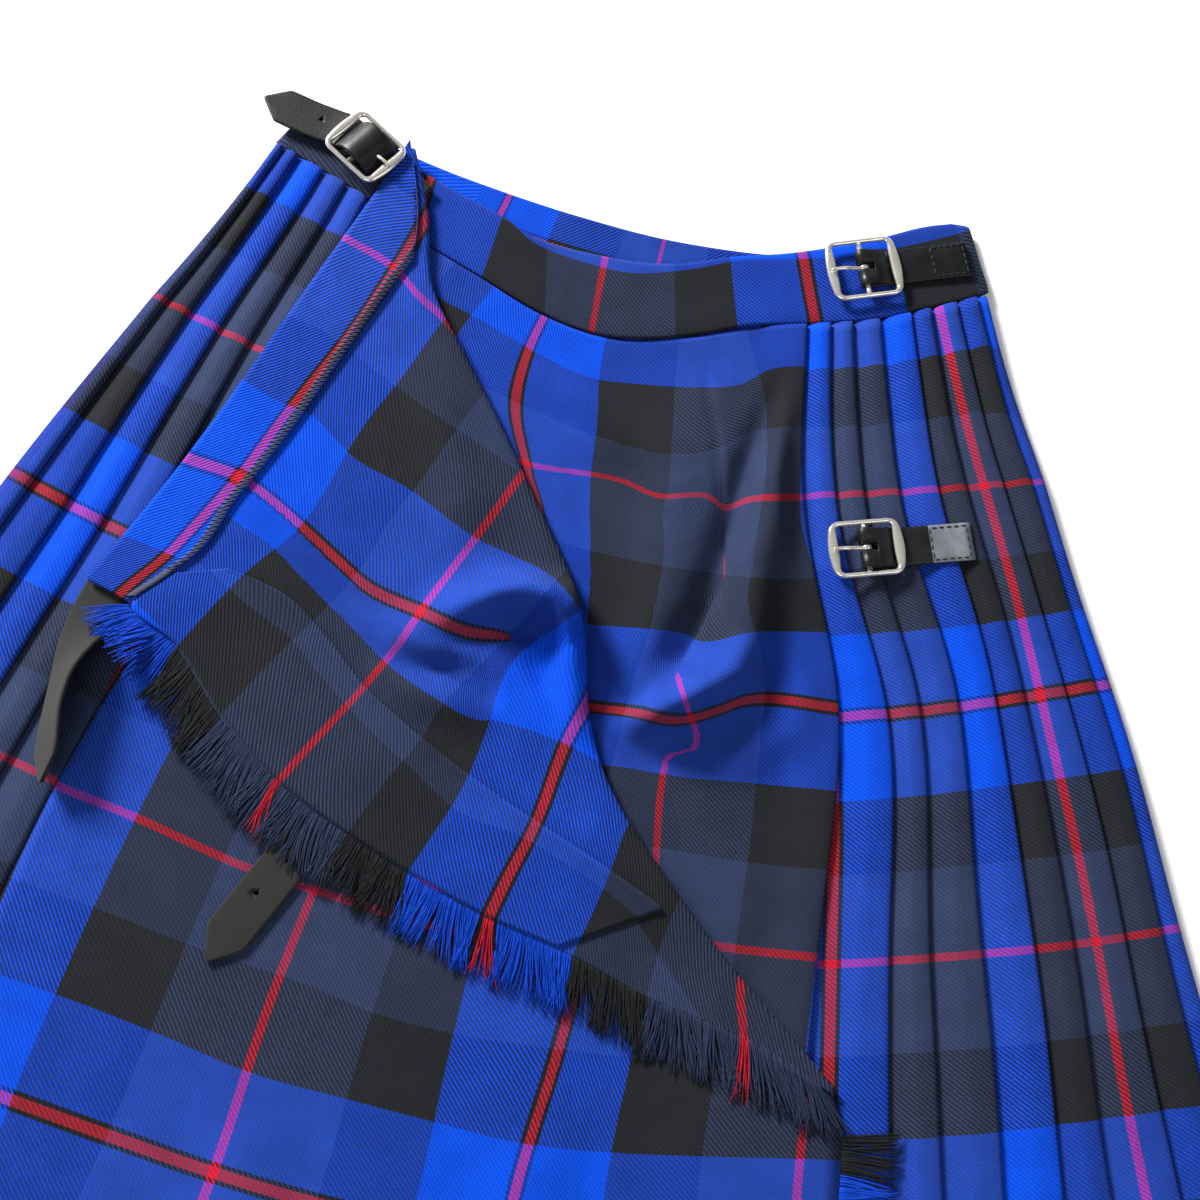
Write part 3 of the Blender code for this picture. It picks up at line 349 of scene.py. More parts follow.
# Threads on each panel, by number, as plan points that the photograph shows. The under-apron has two sets,
# left and right of its dart, and the folded corner has its own
UNDER_WARP_LEFT = {
    0: [(-26, 135), (-32, 106), (-32, 80), (-21, 52), (-8, 20), (0, -45), (0, -300), (-10, -460)],
    39: [(2, 135), (1.5, 106), (5, 80), (7, 52), (13.5, 10), (17, -10), (22, -45), (30, -300), (30, -460)],
    72: [(34, 135), (36, 106), (39, 80), (42, 52), (44, 10), (43, -10), (40, -45), (52, -300), (52, -460)],
    82: [(44, 134), (46, 106), (50, 80), (51.5, 52), (55, 25), (52, 0), (50, -20), (48, -45), (56, -75),
         (60, -300), (62, -460)],
}
UNDER_WARP_RIGHT = {
    0: [(-90, 134), (-60, 80), (-21, 52), (-8, 20), (0, -45), (0, -300), (-10, -460)],
    39: [(-46, 134), (-16, 80), (7, 52), (9, 38), (13.5, 16), (17, -10), (22, -45), (30, -300), (30, -460)],
    72: [(-6, 134), (12, 106), (18, 80), (36, 52), (44, 30), (45, 10), (44, -10), (42, -25), (40, -45),
         (38, -70), (36, -105), (40, -300), (42, -460)],
    110: [(34, 134), (46, 106), (52, 80), (66, 52), (71, 32), (72.5, 19), (68, 6.5), (63.7, -8), (59.5, -20),
          (59, -25.5), (65.4, -39), (72, -52), (70, -57), (61, -60.5), (60, -66), (63, -105), (66, -130),
          (70, -300), (74, -460)],
    148: [(66, 135), (78, 106), (83, 80), (84, 52), (84, 30), (85, 10), (93, -10), (97, -25), (98, -45),
          (99.5, -65), (101, -105), (101, -130), (105, -300), (110, -460)],
    181: [(92.5, 135), (96, 106), (98, 80), (102, 52), (111, 30), (119, 10), (125, -10), (129, -25),
          (131.5, -45), (134, -65), (134.5, -105), (134, -130), (139, -300), (146, -460)],
}
UNDER_WEFT = {
    0: [(-60, 170), (0, 138), (40, 143), (100, 164)],
    39: [(-60, 120), (-2, 101), (20, 102.5), (50, 107), (66, 112), (78, 122), (100, 128)],
    72: [(-60, 90), (5, 74), (40, 72), (60, 79), (70, 88), (84, 94), (110, 103)],
    110: [(-60, 62), (-22, 55), (20, 56), (38, 52), (60, 56), (67, 52), (78, 58), (112, 66), (140, 73)],
    148: [(-60, 28), (10, 21), (42, 20), (64, 21), (80, 22), (110, 27), (130, 35)],
    181: [(-60, -10), (15, -12), (42, -9), (60, -8), (66, -10), (90, -1), (110, 3), (130, 6)],
    220: [(-60, -50), (20, -47.5), (45, -46), (60, -46), (67, -44), (80, -37), (90, -31), (130, -27)],
    259: [(-60, -84), (40, -69), (66, -68.5), (98, -65.5), (134, -62)],
    292: [(-60, -112), (62, -99), (101, -98), (134, -95)],
    330: [(-60, -141), (70, -134), (98, -133), (139, -130)],
    440: [(-60, -252), (20, -254), (139, -246)],
    660: [(-60, -465), (20, -467), (146, -458)],
}
DART_LINE = [(44, 134), (52, 106), (60, 80), (66, 52), (71, 32), (72.5, 19), (68, 6.5), (63.7, -8),
             (59.5, -20), (59, -25.5), (62, -60), (60, -66)]
# Cloth tucked out of sight along the crease that runs on from the dart, in threads on either side
TUCK = Table("y left right", [
    (-600, 0, 0), (-27, 0, 0), (-22, 5, 5), (15, 5, 5), (20, 1.2, 1.2), (30, 1.2, 1.2), (35, 0, 4),
    (50, 0, 4), (57, 0, 0), (200, 0, 0),
])

FLAP_WARP = {
    0: [(-88, 175), (-91.5, 161), (-99, 136), (-112, 99), (-130, 57), (-143, 24), (-155, 0), (-164, -16.5),
        (-178, -36), (-190, -60)],
    39: [(-55, 150), (-72, 116), (-85, 83), (-95, 60), (-100, 45), (-113, 5), (-128, -15), (-137, -30),
         (-150, -55), (-160, -75)],
    72: [(-36, 110), (-55, 66), (-65, 40), (-76, 15), (-80, 0), (-95, -30), (-105, -45), (-125, -80),
         (-136, -102)],
    110: [(0, 100), (-22.5, 51), (-38, 15), (-53, -19.5), (-60, -37.5), (-69, -56), (-80, -75), (-95, -102),
          (-104, -122)],
    148: [(20, 40), (0, 2), (-18, -30), (-35, -57), (-42, -75), (-50, -90), (-62, -116), (-70, -134)],
    181: [(26, 6), (12, -8), (1, -19), (-8, -29), (-13, -40), (-15, -60), (-18, -80), (-22, -95),
          (-30, -115), (-37, -132)],
    220: [(30, -20), (22, -50), (18, -63), (12, -99), (4.5, -124), (0, -141)],
    259: [(62, -60), (52, -85), (48, -97), (46, -110), (40, -135), (35, -152)],
    292: [(92, -90), (78, -110), (72, -130), (68, -160)],
    330: [(118, -110), (105, -145), (108, -160), (113, -178)],
    369: [(150, -140), (148, -170), (150, -190)],
}
FLAP_WEFT = {
    82: [(-135, 180), (-108, 168), (-92, 160), (-76, 150), (-58, 132)],
    110: [(-126, 147), (-99, 136), (-86, 125), (-72.5, 116), (-57, 102), (-40, 88)],
    148: [(-150, 108), (-140, 103), (-120, 97), (-100, 86), (-84, 78), (-57, 65), (-40, 58), (-20, 48)],
    181: [(-165, 74), (-152, 68), (-133, 61), (-119, 58), (-98, 43), (-70, 33), (-38, 17), (-20, 12), (0, 5),
          (12, -5)],
    216: [(-190, 49), (-169, 40), (-143, 28), (-130, 22), (-112, 11.5), (-90.5, -2), (-77, -10), (-53, -16),
          (-32, -20.5), (-18, -21), (-10, -23), (5, -19.6), (20, -17.6)],
    224: [(-190, 41), (-169, 32), (-143, 20), (-130, 14), (-112, 3.5), (-90.5, -10), (-77, -18), (-53, -24),
          (-32, -28.5), (-18, -27), (-10, -24), (5, -20.4), (20, -18.4)],
    259: [(-190, 26), (-160, 14), (-136, 3), (-117, -6), (-110, -12), (-92, -24), (-80, -32),
          (-60, -46), (-40, -55), (-20, -61), (-14, -60), (18, -64), (30, -68), (50, -78)],
    292: [(-190, 0), (-165, -11), (-140, -22), (-120, -32), (-95, -52), (-60, -74), (-18, -96),
          (12, -102), (47, -117), (70, -140)],
}
# Red line that the crease past the arch hides, how many threads it takes, and from which x
RED_WEFT, RED_REACH = 220.0, 4.0
CREASE_HIDES_RED = -14.0
FACING_WEFT = {value: line for value, line in FLAP_WEFT.items() if value < 200}
FACING_WEFT[220] = [(-180, 31), (-169, 28), (-143, 24), (-130, 18), (-112, 7.5)]
FACING_WEFT[259] = [(-195, -10), (-182, -12), (-160, -16.5), (-140, -21), (-117, -26)]
FACING_WEFT[292] = [(-195, -48), (-182, -46), (-165, -48), (-140, -53), (-117, -59)]
EDGE_WEFT = {
    292: [(-150, -16), (-128, -30), (-103, -43), (-90, -54), (-60, -76), (-43, -86), (-22, -99), (10, -106),
          (47, -121), (70, -134)],
    259: [(-176, -36), (-150, -54), (-125, -79), (-95, -101), (-65, -116), (-34, -128), (-4, -138.5),
          (37, -148), (67, -158), (93, -163), (120, -168)],
}

LOWER_WARP = {
    -39: [(-150, 180), (-170, 60), (-195, -30), (-222, -120), (-230, -185), (-242, -260), (-300, -460)],
    0: [(-112, 180), (-135, 60), (-160, -30), (-186, -120), (-196, -185), (-206, -260), (-258, -460)],
    39: [(-75, 180), (-100, 60), (-125, -30), (-146, -120), (-156, -175), (-164, -230), (-166, -250),
         (-218, -460)],
    72: [(-42, 180), (-66, 60), (-88, -30), (-106, -120), (-117, -185), (-126, -245), (-172, -460)],
    110: [(-8, 180), (-30, 60), (-50, -30), (-67, -125), (-70, -140), (-77, -185), (-83, -250), (-118, -460)],
    148: [(30, 180), (8, 60), (-12, -30), (-30, -125), (-37, -185), (-41, -240), (-62, -460)],
    181: [(58, 180), (34, 60), (18, -30), (0, -125), (-4, -185), (-5, -240), (-18, -460)],
    220: [(96, 180), (76, 60), (60, -30), (44, -125), (38, -185), (31, -240), (36, -460)],
    259: [(130, 180), (104, 60), (90, -30), (72, -125), (66, -185), (65, -240), (84, -460)],
    292: [(160, 180), (136, 60), (122, -30), (106, -125), (100, -185), (101, -240), (124, -460)],
    330: [(190, 180), (172, 60), (162, -30), (146, -125), (138, -185), (140, -240), (166, -460)],
}
LOWER_WEFT = {
    0: [(-120, 190), (0, 150), (100, 168)],
    110: [(-204, 101), (-148, 87), (-22, 55), (60, 58), (150, 78)],
    220: [(-241, 7), (-182, -10), (25, -47), (67, -45), (150, -26)],
    330: [(-207, -112), (-187, -118), (-147, -126), (-100, -137), (-70, -141), (0, -147), (98, -137),
          (150, -130)],
    368: [(-190, -158), (-150, -164), (-117, -170), (-60, -178), (-36, -183), (0, -185), (60, -182),
          (150, -172)],
    401: [(-180, -195), (-157, -198), (-117, -205), (-77, -213), (-36, -216), (-5, -218), (30, -220),
          (66, -217), (150, -205)],
    440: [(-165, -238), (-125, -244), (-82, -250), (-40, -254), (20, -256), (80, -252), (160, -243)],
    550: [(-260, -325), (-60, -358), (60, -360), (160, -345)],
    660: [(-300, -420), (-60, -465), (60, -467), (166, -452)],
}
BAND_WARP_FRONT = [(-120, -20), (-95, 0), (-60, 39), (-28, 72), (-6, 110), (33, 148), (60, 181), (95, 220),
                   (137, 259), (170, 292), (180, 300)]
BAND_WARP_INNER = [(-160, -60), (-76, -20), (-38, 39), (-2, 72), (37, 148), (76, 181), (120, 220), (160, 260)]


# Materials

def linear(colour):
    """A colour given as 0 to 255 screen values, as light."""
    shares = [c / 255 for c in colour]
    return tuple(c / 12.92 if c <= 0.04045 else ((c + 0.055) / 1.055) ** 2.4 for c in shares)


class Shade:
    """Material in the making. Its methods add nodes, and take sockets or plain numbers as values."""

    def __init__(self, name, **inputs):
        self.material = bpy.data.materials.new(name)
        self.material.use_nodes = True
        self.tree = self.material.node_tree
        self.shader = self.tree.nodes["Principled BSDF"]
        for socket, value in inputs.items():
            self.set(socket, value)

    def feed(self, socket, value):
        if isinstance(value, bpy.types.NodeSocket):
            self.tree.links.new(value, socket)
        else:
            socket.default_value = value

    def set(self, socket, value):
        self.feed(self.shader.inputs[socket.replace("_", " ")], value)

    def node(self, kind, **inputs):
        node = self.tree.nodes.new("ShaderNode" + kind)
        for socket, value in inputs.items():
            self.feed(node.inputs[socket], value)
        return node

    def math(self, operation, *values):
        node = self.node("Math")
        node.operation = operation
        for socket, value in zip(node.inputs, values):
            self.feed(socket, value)
        return node.outputs[0]

    def line(self, value, factor, offset):
        return self.math("MULTIPLY_ADD", value, factor, offset)

    def noise(self, vector, scale, detail=2.0, rough=0.5):
        node = self.node("TexNoise", Vector=vector, Scale=scale, Detail=detail, Roughness=rough)
        return node.outputs["Fac"]

    def ramp(self, factor, stops, interpolation="LINEAR"):
        node = self.node("ValToRGB", Fac=factor)
        node.color_ramp.interpolation = interpolation
        elements = node.color_ramp.elements
        while len(elements) < len(stops):
            elements.new(0.5)
        for element, (position, colour) in zip(elements, stops):
            element.position = position
            element.color = (*linear(colour), 1.0)
        return node.outputs["Color"]

    def mix(self, factor, a, b, blend="MIX"):
        node = self.tree.nodes.new("ShaderNodeMix")
        node.data_type = "RGBA"
        node.blend_type = blend
        for socket, value in (("Factor", factor), ("A", a), ("B", b)):
            self.feed(node.inputs[socket], value)
        return node.outputs["Result"]

    def lit(self, colour, light):
        """A colour made darker or paler by a number."""
        gain = self.node("CombineXYZ", X=light, Y=light, Z=light)
        return self.mix(1.0, colour, gain.outputs["Vector"], "MULTIPLY")

    def bump(self, height, strength, distance):
        node = self.node("Bump", Strength=strength, Distance=distance, Height=height)
        self.set("Normal", node.outputs["Normal"])

    def where(self):
        return self.tree.nodes.new("ShaderNodeTexCoord").outputs["Object"]

    def weave(self):
        """The weave map, and its thread numbers across and down."""
        uv = self.node("UVMap")
        uv.uv_map = "weave"
        parts = self.node("SeparateXYZ", Vector=uv.outputs["UV"])
        return uv.outputs["UV"], parts.outputs["X"], parts.outputs["Y"]

    def thread_colour(self, thread):
        """Colour of a thread. The check runs forwards and then backwards along its half repeat."""
        red, guard = RED_HALF / HALF_SETT, (RED_HALF + GUARD) / HALF_SETT
        starts = ((0.0, "red"), (red, "guard"), (guard, "blue"), (BLUE_END / HALF_SETT, "black"),
                  (BLACK_END / HALF_SETT, "navy"), (1.0 - red, "red"))
        share = self.math("DIVIDE", self.math("PINGPONG", thread, HALF_SETT), HALF_SETT)
        return self.ramp(share, [(start, SETT_COLOURS[colour]) for start, colour in starts], "CONSTANT")


SETT_COLOURS = {
    "red": (180, 22, 44), "guard": (18, 20, 28), "blue": (0, 68, 200), "black": (29, 30, 32),
    "navy": (43, 53, 82),
}
# Whitish blue for painted sheen specks: highlights painted on the wool where the fibre noise is high
PAINTED_SHEEN_SPECKS = (*linear((150, 170, 215)), 1.0)


def tartan(name, way):
    """Twill woven check: the weave map on the mesh holds thread numbers, in millimetres across and down.

    way is the side on which the twill's diagonal leans, +1 or -1.
    """
    shade = Shade(name, Roughness=0.9, Specular_IOR_Level=0.12, Sheen_Weight=0.06, Sheen_Roughness=0.5,
                  Sheen_Tint=(0.4, 0.5, 0.8, 1.0))
    uv, across, down = shade.weave()
    wobble = shade.line(shade.noise(uv, 0.5, 1.0), 0.6, -0.3)
    diagonal = shade.math("ADD", shade.line(down, way, across), wobble)
    wave = shade.math("PINGPONG", shade.math("FRACT", shade.math("DIVIDE", diagonal, TWILL)), 0.5)
    wave = shade.math("MULTIPLY", wave, 2.0)
    weft_up = shade.math("MINIMUM", shade.math("MAXIMUM", shade.line(wave, 5.0, -2.0), 0.0), 1.0)
    colour = shade.mix(shade.line(weft_up, 1.0 - 2.0 * BLEND, BLEND), shade.thread_colour(across),
                       shade.thread_colour(down))
    fibre, patch = shade.noise(uv, 1.9, 3.0, 0.75), shade.noise(uv, 0.06, 3.0)
    light = shade.math("ADD", shade.line(fibre, 1.5, 0.25), shade.line(wave, -RIB_LIGHT, 0.5 * RIB_LIGHT))
    colour = shade.lit(colour, shade.math("MULTIPLY", light, shade.line(patch, 0.5, 0.75)))
    # Painted sheen: whitish specks mixed in where the fibre noise is high, standing in for light on raised
    # fibres
    sheen_specks = shade.math("MULTIPLY", shade.math("MAXIMUM", shade.math("SUBTRACT", fibre, 0.62), 0.0), 0.9)
    shade.set("Base_Color", shade.mix(sheen_specks, colour, PAINTED_SHEEN_SPECKS))
    shade.bump(shade.line(fibre, 0.6, wave), 0.6, 0.0005)
    return shade.material


def yarn(name):
    """Loose threads: each takes its colour from its place along the check."""
    shade = Shade(name, Roughness=0.8, Specular_IOR_Level=0.15, Sheen_Weight=0.04)
    uv, thread, along = shade.weave()
    fibre = shade.noise(uv, 3.0, 3.0, 0.7)
    shade.set("Base_Color", shade.lit(shade.thread_colour(thread), shade.line(fibre, 1.2, 0.15)))
    shade.bump(shade.math("FRACT", shade.math("DIVIDE", along, 1.1)), 0.35, 0.0003)
    return shade.material


def leather(name, dark, pale, rough, grain):
    """Dyed leather: fine pebbled grain, with paler worn patches."""
    shade = Shade(name, Specular_IOR_Level=0.3)
    where = shade.where()
    pebbles = shade.node("TexVoronoi", Scale=1300.0, Vector=where).outputs["Distance"]
    patch = shade.noise(where, 90.0, 4.0, 0.6)
    shade.set("Base_Color", shade.ramp(patch, [(0.3, dark), (0.75, pale)]))
    shade.set("Roughness", shade.line(shade.noise(where, 900.0, 3.0, 0.6), 0.25, rough - 0.12))
    shade.bump(shade.line(patch, 0.8, pebbles), grain, 0.00025)
    return shade.material


def suede(name, dark, pale):
    """Flesh side of the leather: matt, fibrous and uneven."""
    shade = Shade(name, Roughness=0.93, Sheen_Weight=0.12)
    where = shade.where()
    patch = shade.math("MULTIPLY", shade.noise(where, 70.0, 3.0, 0.6), 0.4)
    value = shade.line(shade.noise(where, 1100.0, 4.0, 0.7), 0.6, patch)
    shade.set("Base_Color", shade.ramp(value, [(0.3, dark), (0.7, pale)]))
    shade.bump(value, 0.6, 0.0004)
    return shade.material


def nickel(name, dark, pale):
    """Polished plated metal with faint wear."""
    shade = Shade(name, Metallic=0.78)
    where = shade.where()
    shade.set("Base_Color", shade.ramp(shade.noise(where, 150.0, 3.0), [(0.3, dark), (0.7, pale)]))
    shade.set("Roughness", shade.line(shade.noise(where, 700.0, 2.0), 0.14, 0.08))
    return shade.material


def thread_finish(name, dark, pale):
    """Sewing thread with a fine twist."""
    shade = Shade(name, Roughness=0.6)
    fine = shade.noise(shade.where(), 1500.0, 2.0)
    shade.set("Base_Color", shade.ramp(fine, [(0.3, dark), (0.7, pale)]))
    shade.bump(fine, 0.3, 0.0002)
    return shade.material


TARTAN = tartan("tartan_twill", -1.0)
TARTAN_TURNED = tartan("tartan_twill_turned", 1.0)
YARN = yarn("fringe_wool")
BLACK_LEATHER = leather("black_leather", (8, 8, 9), (17, 18, 19), 0.42, 0.14)
TAB_LEATHER = leather("tab_leather", (10, 11, 12), (30, 31, 33), 0.4, 0.2)
# Paler grey copy of the tab leather: a painted sheen for the lit top of the hip tab's stitched end
PAINTED_SHEEN_LEATHER = leather("tab_leather_painted_sheen", (88, 91, 98), (128, 131, 138), 0.42, 0.2)
SUEDE = suede("leather_flesh_side", (14, 14, 12), (29, 28, 24))
NICKEL = nickel("polished_nickel", (232, 226, 214), (250, 246, 238))
OVERLOCK_THREAD = thread_finish("overlock_thread", (12, 18, 40), (30, 44, 88))
BLACK_THREAD = thread_finish("black_sewing_thread", (8, 8, 9), (26, 26, 28))


# Meshes

def mesh_piece(name, points, faces, finish, slot, body=BODY, replaces=()):
    """Object from points in metres that rides on a body."""
    mesh = bpy.data.meshes.new(name)
    mesh.from_pydata([tuple(p) for p in points], [], [tuple(f) for f in faces])
    mesh.validate()
    mesh.update()
    for polygon in mesh.polygons:
        polygon.use_smooth = True
    mesh.materials.append(finish)
    obj = bpy.data.objects.new(name, mesh)
    bpy.context.scene.collection.objects.link(obj)
    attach(obj, body)
    if replaces:
        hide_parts(*replaces)
    return obj


def add_weave(obj, uv):
    """Thread numbers of each face corner, for the tartan and yarn finishes."""
    obj.data.uv_layers.new(name="weave").data.foreach_set("uv", uv.ravel())


def tube_faces(rings, sides, first=0):
    """Faces round a row of rings with as many points each, with a cap at both ends."""
    faces = []
    for r in range(rings - 1):
        for k in range(sides):
            a, b = first + r * sides + k, first + r * sides + (k + 1) % sides
            faces.append((a, b, b + sides, a + sides))
    last = first + (rings - 1) * sides
    faces.append(tuple(range(first, first + sides))[::-1])
    faces.append(tuple(range(last, last + sides)))
    return faces


def grid_cells(rows, columns):
    """Four-cornered cells of a grid of points."""
    i = (np.arange(rows - 1)[:, None] * columns + np.arange(columns - 1)[None, :]).ravel()
    return np.stack((i, i + 1, i + columns + 1, i + columns), axis=1)


def point_normals(points, cells):
    """Mean normal of the cells round each point."""
    a, b, c, d = (points[cells[:, k]] for k in range(4))
    normal = np.cross(c - a, d - b)
    length = np.linalg.norm(normal, axis=1)
    length[length == 0] = 1.0
    normal /= length[:, None]
    total = np.zeros_like(points)
    for k in range(4):
        np.add.at(total, cells[:, k], normal)
    length = np.linalg.norm(total, axis=1)
    length[length == 0] = 1.0
    return total / length[:, None]


def cloth_piece(name, points, cells, weave, slot="tartan_cloth", finish=None, wall=SHELL, **options):
    """Thin closed shell of a sheet of cells on the plan. weave gives thread numbers for each cell corner."""
    points = np.asarray(points, dtype=float)
    cells = np.asarray(cells)
    normals = point_normals(points, cells)
    count = len(points)
    both = np.concatenate((points + normals * wall / 2, points - normals * wall / 2))
    edges = np.concatenate([np.stack((cells[:, k], cells[:, (k + 1) % 4]), axis=1) for k in range(4)])
    keys = edges[:, 0] * count + edges[:, 1]
    back = edges[:, 1] * count + edges[:, 0]
    rim = edges[~np.isin(keys, back)]
    rim_faces = np.stack((rim[:, 1], rim[:, 0], rim[:, 0] + count, rim[:, 1] + count), axis=1)
    faces = np.concatenate((cells, cells[:, ::-1] + count, rim_faces))
    obj = mesh_piece(name, place(both), faces, finish or TARTAN, slot, **options)
    corner = weave.reshape(-1, 4, 2)
    lookup = np.zeros((count, 2))
    lookup[cells.ravel()] = corner.reshape(-1, 2)
    rim_uv = lookup[rim[:, [1, 0, 0, 1]]]
    uv = np.concatenate((corner, corner[:, ::-1], rim_uv)).reshape(-1, 2)
    add_weave(obj, uv)
    return obj


def ruffle(x, y, seed, size, amount):
    """Gentle uneven ripple of laid cloth, in millimetres."""
    a, b, c = seed * 1.7, seed * 2.3, seed * 3.1
    return amount * (math.sin(x / size + a + 0.7 * math.sin(y / (1.7 * size) + b))
                     * math.cos(y / (1.3 * size) + c + 0.8 * math.sin(x / (1.5 * size) + a)))


# Pleated panel

RIGHT_THREADS = (23.5, 105.0, 97.0, 36.0, 68.0, 118.0, 68.0)
SIDE_THREAD = 36.0
LEFT_THREADS = (118.0, 68.0, 36.0, 105.0, 97.0)


def pleat_edges(side, down):
    """Plan x of the pleat edges on one side of the front."""
    t = min(max(down, 0.0) / HIP_DOWN, 1.0)
    if side == "left":
        start, end = ROWS.at("apron_l", down), ROWS.at("side_l", down)
        waist, hip = LEFT_EDGES_WAIST, LEFT_EDGES_HIP
    else:
        start, end = ROWS.at("pleat_r", down), ROWS.at("side_r", down)
        waist, hip = RIGHT_EDGES_WAIST, RIGHT_EDGES_HIP
    return [start + (end - start) * (a + (b - a) * t) for a, b in zip(waist, hip)]


def knife_pleats(edges, before, way, levels, lead_in, threads=None, thread=0.0):
    """Section of knife pleats as x, z and thread number along the cloth."""
    face, mid, inner = levels
    path = []
    for number, edge in enumerate(edges):
        own = PLEAT_DEPTH * abs(edge - before)
        if threads:
            thread = threads[number]
        else:
            thread += abs(edge - before)
        visible = abs(edge - before)
        if lead_in:
            path.append((before + way * 0.3, inner, thread - visible + 0.3))
            for share in (0.16, 0.32, 0.5):
                rise = inner + (face - inner) * step_up(share, 0.0, 0.55)
                path.append((before + way * visible * share, rise, thread - visible * (1.0 - share)))
        for share in (0.55, 0.7, 0.82, 0.92):
            puff = 0.45 * math.sin(math.pi * (share - 0.4) / 0.6)
            path.append((before + way * visible * share, face + puff * (1 if face > inner else -0.6),
                         thread - visible * (1.0 - share)))
        fold, turn = edge - way * FOLD_LENGTH, edge - way * (own - FOLD_LENGTH)
        path += [(fold, face, thread - 0.8), (edge - way * 0.2, face + 0.25 * (mid - face), thread - 0.3),
                 (edge, 0.5 * (face + mid), thread),
                 (edge - way * 0.2, face + 0.75 * (mid - face), thread + 0.3), (fold, mid, thread + 0.8),
                 (turn, mid, thread + own - 0.8), (edge - way * own, 0.5 * (mid + inner), thread + own),
                 (turn, inner, thread + own + 0.8)]
        if not threads:
            thread += 2.0 * own
        before, lead_in = edge, True
    return path


def pleated_section(down):
    """Round of the pleated panel at one row: x, z, how far y is that of the back, and thread number."""
    front = (FRONT_FACE, FRONT_MID, FRONT_INNER)
    back = (BACK_FACE, BACK_MID, BACK_INNER)
    right, left = pleat_edges("right", down), pleat_edges("left", down)
    side_r, side_l = ROWS.at("side_r", down), ROWS.at("side_l", down)
    apron_r = ROWS.at("apron_r", down)
    threads = list(RIGHT_THREADS)
    threads[5] += 0.09 * (right[5] - right[4] - 15.0) + 3.5 * step_up(down, 60.0, 300.0)
    path = [(apron_r - PANEL_TUCK, FRONT_INNER, 0.0, threads[0] - (right[0] - apron_r) - PANEL_TUCK)]
    path += [(x, z, 0.0, u) for x, z, u in knife_pleats(right, apron_r, 1, front, True, threads)]
    last = right[-1]
    width = side_r - last
    for share in (0.02, 0.2, 0.4, 0.6, 0.8):
        path.append((last + width * share, FRONT_INNER + 0.6 * math.sin(math.pi * share), 0.0,
                     SIDE_THREAD - width * (1.0 - share)))
    path += [(side_r - 1.2, FRONT_INNER - 0.5, 0.2, SIDE_THREAD - 1.2),
             (side_r - 0.3, FRONT_INNER - 1.4, 0.35, SIDE_THREAD - 0.3), (side_r, 2.5, 0.5, SIDE_THREAD),
             (side_r - 0.3, 1.5, 0.65, SIDE_THREAD + 1.0), (side_r - 1.2, 0.8, 0.8, SIDE_THREAD + 2.0)]
    step = (side_l - side_r) / BACK_PLEATS
    behind = [side_r + step * (j + 0.5) for j in range(BACK_PLEATS)]
    path += [(x, z, 1.0, u) for x, z, u in knife_pleats(behind, side_r, -1, back, False, None, SIDE_THREAD)]
    last, thread = behind[-1], path[-1][3]
    path += [(last - 0.3, BACK_INNER, 1.0, thread + 8.0), (last - 4.0, BACK_FACE, 1.0, thread + 12.0),
             (side_l + 1.4, 0.7, 0.8, thread + 20.0), (side_l + 0.3, 1.6, 0.65, thread + 21.0),
             (side_l, 2.6, 0.5, thread + 22.0), (side_l + 0.2, 3.8, 0.35, thread + 23.0),
             (side_l + 0.9, 5.0, 0.2, thread + 24.0)]
    path += [(x, z, 0.0, u) for x, z, u in knife_pleats(left, side_l, 1, front, False, LEFT_THREADS)[:-2]]
    return path


def make_pleated_panel():
    rows = np.concatenate((np.arange(0, 300, 5.5), np.arange(300, SKIRT_LENGTH - 4, 9.0), [SKIRT_LENGTH]))
    points, weave = [], []
    for down in rows:
        section = pleated_section(down)
        for x, z, back, thread in section:
            y = front_y(x, down) * (1.0 - back) + plan_y(x, down) * back
            wave = ruffle(x, y, 1, 42.0, 0.35) * (1.0 - back) * step_up(down, 0.0, 60.0)
            sway = 0.7 * math.sin(down / 47.0 + 0.06 * x) * step_up(down, 10.0, 90.0)
            points.append((x + sway, y, z + wave))
            weave.append((thread, down_thread(down)))
    cells = grid_cells(len(rows), len(section))
    weave = np.array(weave)
    return cloth_piece("pleats", points, cells, weave[cells], replaces=("pleated_panel",))


# Under-apron

def under_level(x, down):
    """Mid height of the under-apron, which climbs to its folded right edge."""
    edge = ROWS.at("apron_r", down)
    return FRONT_INNER + (FRONT_FACE - FRONT_INNER) * step_up(x, edge - 24.0, edge - 3.0)


def fold_side(x, y):
    """Distance of a plan point from the over-apron's right edge, positive over the bare under-apron."""
    edge_y = list(FLAP.column("fold_y")) + list(APRON_EDGE.column("y"))
    edge_x = list(FLAP.column("fold_x")) + list(APRON_EDGE.column("x") + LOCK_LENGTH)
    return 0.8 * (x - np.interp(-y, np.negative(edge_y), edge_x))


def dart_x(y):
    """Plan x of the dart and of the crease that runs on from it."""
    line = DART_LINE[::-1]
    return float(np.interp(y, [p[1] for p in line], [p[0] for p in line]))


